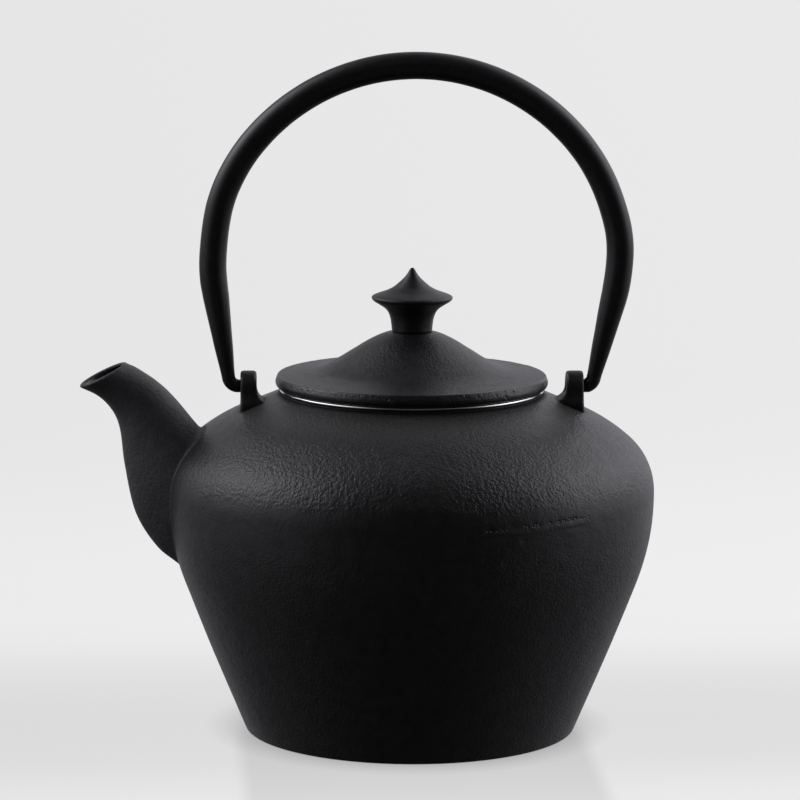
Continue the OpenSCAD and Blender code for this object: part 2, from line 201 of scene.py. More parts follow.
def bridge(ring, following):
    """Faces between two rings of one count, or with one ring a single point, or with
    twice as many points in the first."""
    faces = []
    if len(ring) == 2 * len(following) and len(following) > 1:
        for j, (left, middle) in enumerate(zip(ring[::2], ring[1::2])):
            right = ring[(2 * j + 2) % len(ring)]
            near, far = following[j], following[(j + 1) % len(following)]
            faces += [(left, near, middle), (near, far, middle), (middle, far, right)]
        return faces
    count = max(len(ring), len(following))
    for j in range(count):
        k = (j + 1) % count
        if len(ring) == 1:
            faces.append((ring[0], following[j], following[k]))
        elif len(following) == 1:
            faces.append((ring[j], following[0], ring[k]))
        else:
            faces.append((ring[j], following[j], following[k], ring[k]))
    return faces


def revolve(profile, segs):
    """An open (radius, z) profile turned about Z; a point on the axis stays single."""
    verts, faces = [], []
    rings = [add_ring(verts, radius, z, 1 if radius < 1e-6 else segs)
             for radius, z in profile]
    for ring, following in zip(rings[:-1], rings[1:]):
        faces += bridge(ring, following)
    return verts, faces, rings


def closed_revolve(name, profile, segs, mats=(), mat_of=None, relief=None):
    """A closed profile loop, or one that starts and ends on the axis, turned about Z.
    relief moves the vertices; mat_of picks a face's material from its centre."""
    verts, faces, rings = revolve(profile, segs)
    if profile[0][0] > 1e-6:
        faces += bridge(rings[-1], rings[0])
    verts = np.array(verts, float)
    if relief is not None:
        verts = relief(verts)
    face_mats = None
    if mat_of is not None:
        face_mats = [mat_of(verts[list(face)].mean(0)) for face in faces]
    obj = make_object(name, verts, faces, mats, face_mats)
    fix_normals(obj)
    return obj


def loft(name, rings, mats, capped=False, row_mats=None):
    """A skin over (ring, point, xyz); the last ring joins the first, or both ends are capped."""
    count, around = rings.shape[:2]
    verts = rings.reshape(-1, 3)
    faces = []
    for k in range(count - 1 if capped else count):
        k2 = (k + 1) % count
        for j in range(around):
            j2 = (j + 1) % around
            faces.append((k * around + j, k * around + j2, k2 * around + j2, k2 * around + j))
    if capped:
        start_cap, last_ring = len(verts), (count - 1) * around
        verts = np.vstack([verts, rings[0].mean(0)[None], rings[-1].mean(0)[None]])
        for j in range(around):
            j2 = (j + 1) % around
            faces.append((start_cap, j2, j))
            faces.append((start_cap + 1, last_ring + j, last_ring + j2))
    face_mats = None if row_mats is None else np.repeat(row_mats, around)
    obj = make_object(name, verts, faces, mats, face_mats)
    fix_normals(obj)
    return obj


def drill(obj, radius, reach, centre):
    """Cuts a round hole along X, reaching equally to both sides of the centre."""
    tool = closed_revolve("cut_tmp", [(0, -reach), (radius, -reach), (radius, reach),
                                      (0, reach)], 64)
    tool.data.transform(Matrix.Translation([x * MM for x in centre])
                        @ Matrix.Rotation(pi / 2, 4, "Y"))
    hole = obj.modifiers.new("hole", "BOOLEAN")
    hole.object = tool
    hole.operation = "DIFFERENCE"
    hole.solver = "EXACT"
    apply_modifiers(obj)
    bpy.data.objects.remove(tool)


def register(obj, group, node):
    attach(obj, group)
    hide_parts(node)


# ---------------------------------------------------------------------------
# node trees
# ---------------------------------------------------------------------------


class Nodes:
    """A thin wrapper round a node tree."""

    def __init__(self, tree):
        self.tree = tree
        tree.nodes.clear()

    def new(self, kind, **props):
        node = self.tree.nodes.new("ShaderNode" + kind)
        for key, value in props.items():
            setattr(node, key, value)
        return node

    def put(self, socket, value):
        """Links a socket, or sets a number or an RGB colour."""
        if isinstance(value, bpy.types.NodeSocket):
            self.tree.links.new(value, socket)
        elif isinstance(value, (list, tuple)):
            socket.default_value = (*value, 1.0)
        else:
            socket.default_value = value


class Shader(Nodes):
    """A material's tree; its methods add a node and return the output socket."""

    def __init__(self, name):
        self.material = bpy.data.materials.new(name)
        self.material.use_nodes = True
        super().__init__(self.material.node_tree)
        self.output = self.new("OutputMaterial")
        self.position = self.new("TexCoord").outputs["Object"]

    @cached_property
    def axes(self):
        """The x, y and z of the object position."""
        node = self.new("SeparateXYZ")
        self.put(node.inputs[0], self.position)
        return node.outputs

    def noise(self, scale, detail=2.0, rough=0.5, warp=0.0, at=None):
        node = self.new("TexNoise")
        for key, value in (("Vector", at or self.position), ("Scale", scale),
                           ("Detail", detail), ("Roughness", rough), ("Distortion", warp)):
            self.put(node.inputs[key], value)
        return node.outputs["Fac"]

    def cells(self, scale):
        """Distance to the nearest of scattered points."""
        node = self.new("TexVoronoi")
        self.put(node.inputs["Vector"], self.position)
        self.put(node.inputs["Scale"], scale)
        return node.outputs["Distance"]

    def math(self, operation, first, second=0.5, third=0.5):
        node = self.new("Math", operation=operation)
        for socket, value in zip(node.inputs, (first, second, third)):
            self.put(socket, value)
        return node.outputs[0]

    def add(self, first, second):
        return self.math("ADD", first, second)

    def sub(self, first, second):
        return self.math("SUBTRACT", first, second)

    def mul(self, first, second):
        return self.math("MULTIPLY", first, second)

    def vary(self, base, pattern, amount, middle=0.5):
        """base, moved by amount times the pattern's distance from its middle."""
        return self.add(base, self.mul(self.sub(pattern, middle), amount))

    def radius(self):
        """Distance from the Z axis."""
        x, y, _ = self.axes
        return self.math("SQRT", self.add(self.mul(x, x), self.mul(y, y)))

    def ramp(self, value, span, to, kind="SMOOTHSTEP"):
        """Maps the span of a value to another span."""
        node = self.new("MapRange", interpolation_type=kind)
        self.put(node.inputs["Value"], value)
        for key, limit in zip(("From Min", "From Max", "To Min", "To Max"), (*span, *to)):
            self.put(node.inputs[key], limit)
        return node.outputs["Result"]

    def rise(self, value, span):
        return self.ramp(value, span, to=(0.0, 1.0))

    def fall(self, value, span):
        return self.ramp(value, span, to=(1.0, 0.0))

    def mix(self, factor, low, high):
        node = self.new("Mix", data_type="FLOAT")
        for i, value in ((0, factor), (2, low), (3, high)):
            self.put(node.inputs[i], value)
        return node.outputs[0]

    def mix_color(self, factor, low, high, blend="MIX"):
        node = self.new("Mix", data_type="RGBA", blend_type=blend)
        for i, value in ((0, factor), (6, low), (7, high)):
            self.put(node.inputs[i], value)
        return node.outputs[2]

    def openness(self, samples, distance):
        """Ambient occlusion: 1 in the open, less in corners."""
        node = self.new("AmbientOcclusion", samples=samples)
        node.inputs["Distance"].default_value = distance
        return node.outputs["AO"]

    def bump(self, height, strength, distance, normal=None):
        node = self.new("Bump")
        self.put(node.inputs["Height"], height)
        self.put(node.inputs["Strength"], strength)
        self.put(node.inputs["Distance"], distance)
        if normal is not None:
            self.put(node.inputs["Normal"], normal)
        return node.outputs[0]

    def finish(self, color, rough, normal, metal=0.0, spec=0.5, coat=0.0, coat_rough=0.1):
        surface = self.new("BsdfPrincipled")
        for key, value in (("Base Color", color), ("Roughness", rough), ("Metallic", metal),
                           ("Specular IOR Level", spec), ("Coat Weight", coat),
                           ("Coat Roughness", coat_rough), ("Normal", normal)):
            self.put(surface.inputs[key], value)
        self.put(self.output.inputs[0], surface.outputs[0])
        return self.material


# ---------------------------------------------------------------------------
# materials, in metres
# ---------------------------------------------------------------------------
SHOULDER_LINE = 0.0868      # height above which the pot's grain is coarse


def sand_grain(mat, scale):
    """Worm-like grain of about a millimetre: a steepened noise, a folded one and specks,
    added by weight."""
    worms = mat.rise(mat.noise(scale=780.0 * scale, rough=0.55, warp=0.1), span=(0.30, 0.70))
    folds = mat.math("ABSOLUTE",
                     mat.sub(mat.noise(scale=520.0 * scale, detail=1.0, warp=0.3), 0.5))
    specks = mat.noise(scale=1300.0 * scale, rough=0.6)
    worm_weight, fold_limit, fold_weight, speck_weight = 0.78, 0.16, 0.25, 0.62
    folds = mat.mul(mat.math("MINIMUM", folds, fold_limit), fold_weight)
    return mat.add(mat.mul(worms, worm_weight), mat.add(folds, mat.mul(specks, speck_weight)))


def pit_row(mat):
    """A row of small pits above the parting line on the pot's -Y side."""
    x, y, z = mat.axes
    row = mat.mul(mat.rise(x, span=(0.015, 0.024)), mat.fall(x, span=(0.049, 0.056)))
    row = mat.mul(row, mat.math("LESS_THAN", y, 0.0))
    line_z, line_slope = 0.0795, 0.04375        # height at x = 0, and rise along X
    above = mat.sub(mat.sub(z, line_z), mat.mul(x, line_slope))
    row = mat.mul(row, mat.mul(mat.rise(above, span=(0.0003, 0.0008)),
                               mat.fall(above, span=(0.0011, 0.0019))))
    dots = mat.fall(mat.cells(scale=820.0), span=(0.20, 0.50))
    dots = mat.mul(dots, mat.rise(mat.noise(scale=210.0, detail=1.0), span=(0.34, 0.46)))
    return mat.mul(row, dots)


def shoulder_skin(mat, coarse, fine, patch, rough):
    """Height and roughness of the pot: coarse above the shoulder line, a burnished band
    below it, and fine grain under that."""
    z = mat.axes[2]
    waver = mat.mul(mat.sub(mat.noise(scale=60.0), 0.5), 0.005)     # the line wanders
    level = mat.add(z, waver)
    above = mat.rise(level, span=(SHOULDER_LINE - 0.0020, SHOULDER_LINE + 0.0020))
    near_mouth = mat.ramp(z, span=(0.098, 0.112), to=(1.0, 0.9))
    under = mat.fall(level, span=(SHOULDER_LINE - 0.019, SHOULDER_LINE - 0.012))
    # how much fine grain shows in each zone
    band_fine, under_fine, above_fine = 0.60, 1.45, 0.15
    fine_amount = mat.mix(above, mat.mix(under, band_fine, under_fine), above_fine)
    height = mat.add(mat.mul(coarse, mat.mul(mat.mul(above, near_mouth), patch)),
                     mat.mul(fine, fine_amount))
    below_rough = rough + 0.03
    rough = mat.mix(above, mat.mix(under, below_rough, below_rough), rough)
    row_depth = 1.5
    return mat.sub(height, mat.mul(pit_row(mat), row_depth)), rough


def worn_edge(mat, edge_r, height, rough):
    """Outside a radius the skin is lumpy and more polished, with open pits."""
    edge = mat.rise(mat.radius(), span=(edge_r - 0.0003, edge_r + 0.0005))
    # only some stretches are pitted
    worn = mat.ramp(mat.noise(scale=46.0, detail=1.0), span=(0.47, 0.60), to=(0.12, 1.0))
    hole = mat.fall(mat.cells(scale=520.0), span=(0.14, 0.32))
    hole = mat.mul(hole, mat.rise(mat.noise(scale=120.0, rough=0.6), span=(0.44, 0.58)))
    lump = mat.noise(scale=300.0, warp=0.4)
    lump_height, hole_depth, polish = 1.3, 2.0, 0.06
    extra = mat.sub(mat.mul(lump, lump_height), mat.mul(hole, hole_depth))
    height = mat.add(height, mat.mul(mat.mul(edge, worn), extra))
    return height, mat.mix(edge, rough, rough - polish)


def cast_iron(name, rough, tone=1.0, grain=1.0, scale=1.0, mottle=1.0, crease=0.0,
              shoulder=False, edge_r=None):
    """Black lacquered cast iron. grain is the relief's height and scale its frequency;
    inside corners nearer than crease get painted shade: a darker colour and a weaker, duller
    reflection."""
    mat = Shader(name)
    coarse = sand_grain(mat, scale)
    fine = mat.noise(scale=1000.0 * scale, detail=2.5, rough=0.6, warp=0.2)
    patch = mat.ramp(mat.noise(scale=38.0), span=(0.35, 0.65), to=(0.6, 1.0))
    # scattered pin holes left by the sand
    pit = mat.fall(mat.cells(scale=260.0), span=(0.045, 0.11))
    pit = mat.mul(pit, mat.rise(mat.noise(scale=90.0, detail=1.0), span=(0.52, 0.62)))
    if shoulder:
        height, rough = shoulder_skin(mat, coarse, fine, patch, rough)
    else:
        coarse_amount, fine_amount = 0.55, 0.60
        height = mat.add(mat.mul(coarse, mat.mul(patch, coarse_amount)),
                         mat.mul(fine, fine_amount))
    pit_depth = 0.6
    height = mat.sub(height, mat.mul(pit, pit_depth))
    if edge_r is not None:
        height, rough = worn_edge(mat, edge_r, height, rough)
    normal = mat.bump(height, strength=1.0, distance=0.00018 * grain)
    normal = mat.bump(mat.noise(scale=170.0), strength=0.35 * grain, distance=0.0006,
                      normal=normal)
    rough = mat.vary(rough, mat.noise(scale=420.0, detail=3.0, rough=0.6), amount=0.16)

    swing = 0.00325 * mottle        # the colour's variation round its middle
    color = mat.mix_color(
        mat.rise(mat.noise(scale=240.0, detail=4.0, rough=0.6), span=(0.35, 0.68)),
        [(value - swing) * tone for value in (0.00925, 0.00925, 0.00965)],
        [(value + swing) * tone for value in (0.00925, 0.00905, 0.00945)])
    if shoulder:        # painted light: the colour grows lighter towards the collar
        color = mat.mix_color(mat.rise(mat.axes[2], span=(0.1050, 0.1105)), color,
                              [value * tone for value in (0.034, 0.0325, 0.031)])
    spec = 0.5
    if crease > 0:
        open_ = mat.rise(mat.openness(samples=6, distance=crease), span=(0.42, 0.94))
        # painted shade: in inside corners the colour darkens to near black, and the reflection
        # weakens and dulls
        color = mat.mix_color(open_, [value * tone for value in (0.0030, 0.0030, 0.0032)],
                              color)
        corner_spec, corner_rough = 0.06, 0.90
        spec = mat.mix(open_, corner_spec, spec)
        rough = mat.mix(open_, corner_rough, rough)
    return mat.finish(color, rough, normal, spec=spec)


def enamel(name):
    """Dark glassy enamel inside the pot and the spout."""
    mat = Shader(name)
    speck = mat.rise(mat.noise(scale=900.0), span=(0.60, 0.72))
    color = mat.mix_color(speck, [0.008, 0.008, 0.009], [0.030, 0.031, 0.034])
    normal = mat.bump(mat.noise(scale=150.0), strength=0.25, distance=0.0005)
    rough = mat.ramp(mat.noise(scale=60.0), span=(0.3, 0.7), to=(0.16, 0.26))
    return mat.finish(color, rough, normal, coat=0.4, coat_rough=0.08)


def paint(name, rough, tone, grain=1.0):
    """Satin black paint with a faint orange peel and fine dust."""
    mat = Shader(name)
    peel_weight, dust_weight = 0.8, 0.25
    height = mat.add(mat.mul(mat.noise(scale=330.0), peel_weight),
                     mat.mul(mat.noise(scale=1700.0, rough=0.6), dust_weight))
    normal = mat.bump(height, strength=0.22 * grain, distance=0.00016)
    rough = mat.vary(rough, mat.noise(scale=95.0, detail=3.0, rough=0.6), amount=0.14)
    color = mat.mix_color(
        mat.rise(mat.noise(scale=480.0, detail=3.0, rough=0.6), span=(0.4, 0.7)),
        [value * tone for value in (0.0050, 0.0050, 0.0055)],
        [value * tone for value in (0.0100, 0.0098, 0.0105)])
    return mat.finish(color, rough, normal)


def steel(name, rough, color=(0.80, 0.80, 0.78), turned=True):
    """Stainless steel with a little water staining and, if turned, fine lines round Z."""
    mat = Shader(name)
    if turned:
        across = mat.new("CombineXYZ")
        mat.put(across.inputs[0], mat.radius())
        mat.put(across.inputs[2], mat.axes[2])
        height = mat.noise(scale=5200.0, rough=0.6, at=across.outputs[0])
    else:
        height = mat.noise(scale=900.0, detail=3.0, rough=0.6)
    stain = mat.noise(scale=55.0, detail=4.0, rough=0.6)
    rough = mat.vary(rough, stain, amount=0.10, middle=0.4)
    stained = [value * 0.86 for value in color]
    color = mat.mix_color(mat.rise(stain, span=(0.35, 0.7)), color, stained)
    normal = mat.bump(height, strength=0.16, distance=0.00004)
    return mat.finish(color, rough, normal, metal=1.0)


M_BODY = cast_iron("cast_iron_body", rough=0.40, scale=1.15, crease=0.003, shoulder=True)
# painted light: the spout's iron gets a far lighter tone than the pot's, standing in for light
# falling on it
M_SPOUT = cast_iron("cast_iron_spout", rough=0.57, tone=5.0, crease=0.016, mottle=0.35)
M_LUG = cast_iron("cast_iron_lugs", rough=0.42, tone=1.5, grain=0.7, crease=0.004)
M_LID = cast_iron("cast_iron_lid", rough=0.41, grain=0.85, scale=1.35, edge_r=0.0440)
M_KNOB = paint("knob_paint", rough=0.42, tone=1.1, grain=2.0)
M_BAIL = paint("handle_paint", rough=0.36, tone=1.3)
M_ENAMEL = enamel("inner_enamel")
M_RING = steel("polished_steel", rough=0.16, color=(0.92, 0.92, 0.90))
M_MESH = steel("perforated_steel", rough=0.24)
M_SCREW = steel("screw_steel", rough=0.28, color=(0.62, 0.62, 0.60), turned=False)

# ---------------------------------------------------------------------------
# pot body: a flared wall, belly, shoulder, dome and short collar, each an arc or a line
# ---------------------------------------------------------------------------
BASE_R, FLARE, FLARE_L = 55.2, 22.0, 53.7       # foot radius; wall's lean and sloping length
BELLY_R = 79.6
SHOULDER_R, SHOULDER_A = 22.0, 48.5             # arc radius and the angle where it ends
DOME_R, DOME_A = 55.0, 67.0
WALL, FLOOR_T, FLOOR_ROUND = 3.2, 4.0, 8.0
MOUTH_R, COLLAR_R, MOUTH_Z = 40.0, 43.3, 114.6
COLLAR_STEP = 0.7                               # collar's top above the slope's end
BLEND_R, MOUTH_EDGE_R, FOOT_EDGE_R = 0.5, 0.3, 0.8
POT_SEGS = 448


def blend_z(dome_end_r, dome_end_z):
    """Height of the centre of the small arc between the dome's slope and the collar."""
    return dome_end_z + (BLEND_R - (COLLAR_R + BLEND_R - dome_end_r) * cosd(DOME_A)) \
        / sind(DOME_A)


# points are (radius, z)
flare_dir = np.array([cosd(FLARE), -sind(FLARE)])
cone_end = np.array([BASE_R + FLARE_L * sind(FLARE), FLARE_L * cosd(FLARE)])
belly_c = cone_end - BELLY_R * flare_dir
# a straight stretch at the widest line brings the slope's end to its place under the collar
slope_z = blend_z(belly_c[0] + BELLY_R - SHOULDER_R + SHOULDER_R * cosd(SHOULDER_A)
                  + DOME_R * (cosd(DOME_A) - cosd(SHOULDER_A)),
                  belly_c[1] + SHOULDER_R * sind(SHOULDER_A)
                  + DOME_R * (sind(DOME_A) - sind(SHOULDER_A)))
BELLY_H = MOUTH_Z - COLLAR_STEP - slope_z
shoulder_c = np.array([belly_c[0] + BELLY_R - SHOULDER_R, belly_c[1] + BELLY_H])
shoulder_end = polar(shoulder_c, SHOULDER_R, SHOULDER_A)
dome_c = polar(shoulder_end, -DOME_R, SHOULDER_A)
dome_end = polar(dome_c, DOME_R, DOME_A)
dome_in = polar(dome_c, DOME_R - WALL, DOME_A)
blend_c = np.array([COLLAR_R + BLEND_R, blend_z(*dome_end)])


def pot_r(z):
    """Radius of the pot's outer surface at heights z."""
    z = np.asarray(z, float)

    def arc_r(centre, radius):
        return centre[0] + np.sqrt(np.maximum(radius ** 2 - (z - centre[1]) ** 2, 0))

    return np.select(
        [z < cone_end[1], z < belly_c[1], z < shoulder_c[1], z < shoulder_end[1],
         z < dome_end[1]],
        [BASE_R + z * tand(FLARE), arc_r(belly_c, BELLY_R),
         np.full_like(z, belly_c[0] + BELLY_R), arc_r(shoulder_c, SHOULDER_R),
         arc_r(dome_c, DOME_R)],
        dome_end[0] - (z - dome_end[1]) / tand(90 - DOME_A))


def pot_normal(points):
    """Outward unit normals of the pot's outer surface at points (n, 3)."""
    x, y, z = points.T
    slope = (pot_r(z + 0.02) - pot_r(z - 0.02)) / 0.04
    radius = np.hypot(x, y)
    normals = np.stack([x / radius, y / radius, -slope], 1)
    return normals / np.linalg.norm(normals, axis=1)[:, None]


foot_setback = FOOT_EDGE_R * tand(45 - FLARE / 2)
outer = ([(BASE_R - foot_setback, 0.0)]
         + arc((BASE_R - foot_setback, FOOT_EDGE_R), FOOT_EDGE_R, -90, -FLARE, 6)[1:]
         + arc(belly_c, BELLY_R, -FLARE, 0, 24)
         + arc(shoulder_c, SHOULDER_R, 0, SHOULDER_A, 24)
         + arc(dome_c, DOME_R, SHOULDER_A, DOME_A, 18)[1:]
         + arc(blend_c, BLEND_R, 180 + DOME_A, 180, 6)
         + arc((COLLAR_R - MOUTH_EDGE_R, MOUTH_Z - MOUTH_EDGE_R), MOUTH_EDGE_R, 0, 90, 4))
foot_in = np.array([BASE_R, 0]) - WALL * flare_dir
floor_edge_r = foot_in[0] + (FLOOR_T - foot_in[1]) * tand(FLARE)
floor_c = (floor_edge_r - FLOOR_ROUND * tand(45 - FLARE / 2), FLOOR_T + FLOOR_ROUND)
inner = (arc((MOUTH_R + MOUTH_EDGE_R, MOUTH_Z - MOUTH_EDGE_R), MOUTH_EDGE_R, 90, 180, 4)
         + [(MOUTH_R, dome_in[1] + (dome_in[0] - MOUTH_R) * tand(90 - DOME_A))]
         + arc(dome_c, DOME_R - WALL, DOME_A, SHOULDER_A, 8)
         + arc(shoulder_c, SHOULDER_R - WALL, SHOULDER_A, 0, 8)[1:]
         + arc(belly_c, BELLY_R - WALL, 0, -FLARE, 10)
         + arc(floor_c, FLOOR_ROUND, -FLARE, -90, 8))
# rings inwards across the underside and the inner floor: radius, points
UNDERSIDE_RINGS = [(52.0, 448), (49.5, 224), (40.0, 224), (34.0, 112), (26.0, 112),
                   (18.0, 56), (9.0, 28), (0.0, 1)]
FLOOR_RINGS = [(38.0, 112), (28.0, 56), (18.0, 28), (9.0, 28), (0.0, 1)]

# partial parting line. Azimuths run from -Y, positive towards +X
RIDGE_A0, RIDGE_Z0, RIDGE_A1, RIDGE_Z1 = 11.0, 80.0, 43.0, 81.4
RIDGE_H, RIDGE_W = 0.24, 0.40
# azimuth, height, depth, radius
PITS = [(15.5, 82.4, 0.20, 0.7), (18.6, 82.2, 0.18, 0.6), (21.2, 82.6, 0.24, 0.8),
        (24.1, 82.1, 0.19, 0.6), (26.6, 82.7, 0.24, 0.8), (28.4, 81.9, 0.18, 0.5),
        (30.8, 82.5, 0.24, 0.7), (33.4, 82.9, 0.24, 0.8), (35.6, 82.2, 0.20, 0.6),
        (37.8, 82.8, 0.20, 0.7), (25.5, 80.9, 0.25, 0.6), (31.5, 81.0, 0.22, 0.5),
        (24.0, 77.5, 0.25, 0.7), (-35.0, 90.5, 0.12, 0.8), (8.0, 62.0, 0.10, 0.7),
        (-18.0, 48.0, 0.10, 0.7), (52.0, 58.0, 0.12, 0.8), (-48.0, 66.0, 0.10, 0.7)]
PIT_WALL_R = 80             # turns azimuth into distance along the wall
SPOUT_HOLE_R, SPOUT_HOLE_REACH, SPOUT_HOLE_AT = 9.5, 14, (-79, 0, 79)


def pot_relief(points):
    """Outward displacement of points on the pot's outside."""
    x, y, z = points.T
    cast = (z > 1.2) & (z < 112.0)
    fine = np.where(z > 87, 1.0, np.where(z > 70, 0.45, 0.7))
    relief = np.zeros(len(points))
    for i in np.nonzero(cast)[0]:
        relief[i] = (0.060 * fbm(points[i], 0.055, 3.1)
                     + fine[i] * 0.030 * fbm(points[i], 0.42, 11.7))
    # the lower wall is very slightly full
    relief += np.where(cast, 0.30 * np.sin(pi * np.clip(z / 52.0, 0, 1)), 0)
    # the parting line, with a groove along its upper side
    azimuth = np.degrees(np.arctan2(x, -y))
    along = np.clip((azimuth - RIDGE_A0) / (RIDGE_A1 - RIDGE_A0), 0, 1)
    line = RIDGE_Z0 + (RIDGE_Z1 - RIDGE_Z0) * along
    fade = (smoothstep(RIDGE_A0 - 2, RIDGE_A0 + 5, azimuth)
            * (1 - smoothstep(RIDGE_A1 - 4, RIDGE_A1 + 2, azimuth)))
    above = z - line - 0.22 * np.sin(azimuth * 1.7) * np.sin(azimuth * 0.53)
    relief += RIDGE_H * fade * np.exp(-(above / RIDGE_W) ** 2)
    relief -= 0.6 * RIDGE_H * fade * np.exp(-((above - 1.6 * RIDGE_W)
                                              / (1.1 * RIDGE_W)) ** 2)
    for pit_azimuth, pit_z, depth, size in PITS:
        distance2 = ((azimuth - pit_azimuth) * pi / 180 * PIT_WALL_R) ** 2 + (z - pit_z) ** 2
        relief -= depth * np.exp(-distance2 / (size * size))
    return relief


def pot_spacing(_, z):
    """Ring spacing of the outside, closest round the parting line."""
    if 69 < z < 84:
        return 0.62
    return 1.05 if z > 84 else 1.5


def build_pot():
    verts, faces, rings = revolve(resample(outer, pot_spacing), POT_SEGS)
    face_mats = [0] * len(faces)
    outside_count = len(verts)

    def extend(ring, radius, z, count, material):
        following = add_ring(verts, radius, z, count)
        added = bridge(ring, following)
        faces.extend(added)
        face_mats.extend([material] * len(added))
        return following

    ring = rings[0]
    for radius, count in UNDERSIDE_RINGS:
        ring = extend(ring, radius, 0.0, count, 0)
    # down from the mouth; the enamel starts at the fourth band
    ring = rings[-1]
    for i, (radius, z) in enumerate(resample(inner, 3.0)):
        count = POT_SEGS if i < 6 else (POT_SEGS // 2 if i < 14 else POT_SEGS // 4)
        ring = extend(ring, radius, z, count, 0 if i < 3 else 1)
    for radius, count in FLOOR_RINGS:
        ring = extend(ring, radius, FLOOR_T, count, 1)

    verts = np.array(verts, float)
    skin = verts[:outside_count]
    verts[:outside_count] = skin + pot_normal(skin) * pot_relief(skin)[:, None]
    obj = make_object("pot_body_shell", verts, faces, (M_BODY, M_ENAMEL), face_mats)
    fix_normals(obj)
    drill(obj, SPOUT_HOLE_R, SPOUT_HOLE_REACH, SPOUT_HOLE_AT)
    return obj


register(build_pot(), "pot", "pot_body")

# ---------------------------------------------------------------------------
# spout: a lofted skin that starts on the pot's own surface with a cast fillet
# ---------------------------------------------------------------------------
# upper edge x, z; lower edge x, z; half width; how much narrower the lower side is
SPOUT = np.array([
    (-70.1, 100.8, -77.5, 55.2, 16.6, 0.34),
    (-72.9, 104.2, -85.1, 61.6, 14.4, 0.34),
    (-77.2, 109.6, -92.0, 72.9, 12.2, 0.32),
    (-81.2, 114.0, -95.5, 88.7, 10.5, 0.26),
    (-85.2, 117.5, -97.1, 101.1, 9.6, 0.17),
    (-88.8, 120.0, -99.6, 107.5, 9.1, 0.09),
    (-91.9, 121.9, -104.2, 112.3, 9.0, 0.03),
    (-94.5, 123.0, -110.1, 115.3, 9.3, 0.0),
])
LAST_STATION = len(SPOUT) - 1
SPOUT_SEGS, SPOUT_RINGS, FILLET_STEPS, BORE_RINGS = 128, 96, 9, 60
SPOUT_WALL, LIP_WALL = 3.0, 1.75
LIP_DIR = np.array([-0.60, 0.0, 0.80])      # the way the lip's rounding faces


def spout_points(station, angle, inset):
    """Points of the skin, set in by inset; station and angle are arrays of one shape.
    The angle is 90 degrees (in radians) on the upper side."""
    row = catmull(SPOUT, station)
    upper, lower = row[..., 0:2], row[..., 2:4]
    half_width, egg = row[..., 4], row[..., 5]
    centre, across = (upper + lower) / 2, upper - lower
    half_height = np.linalg.norm(across, axis=-1) / 2
    across = across / (2 * half_height[..., None])
    lift = (half_height - inset) * np.sin(angle)
    y = (half_width - inset) * np.cos(angle) * (1 + egg * np.sin(angle))
    return np.stack([centre[..., 0] + across[..., 0] * lift, y,
                     centre[..., 1] + across[..., 1] * lift], -1)


def meet(angle, inset, sink):
    """Station at which the skin leaves the pot's surface sunk by sink, for each angle."""
    def inside(station):
        points = spout_points(station, angle, inset)
        wall = pot_r(np.clip(points[..., 2], 1, 111)) - sink
        return np.hypot(points[..., 0], points[..., 1]) - wall < 0

    first, last = -0.9, 3.2
    low, high = np.full(angle.shape, first), np.full(angle.shape, last)
    # the first inside point, coming from the lip's end
    for station in np.linspace(first, last, 83)[::-1]:
        found = inside(np.full(angle.shape, station)) & (low < -0.89)
        low = np.where(found, station, low)
        high = np.where(found, station + 0.05, high)
    high = np.where(low < -0.89, -0.85, high)
    for _ in range(30):
        middle = (low + high) / 2
        within = inside(middle)
        low, high = np.where(within, middle, low), np.where(within, high, middle)
    return (low + high) / 2


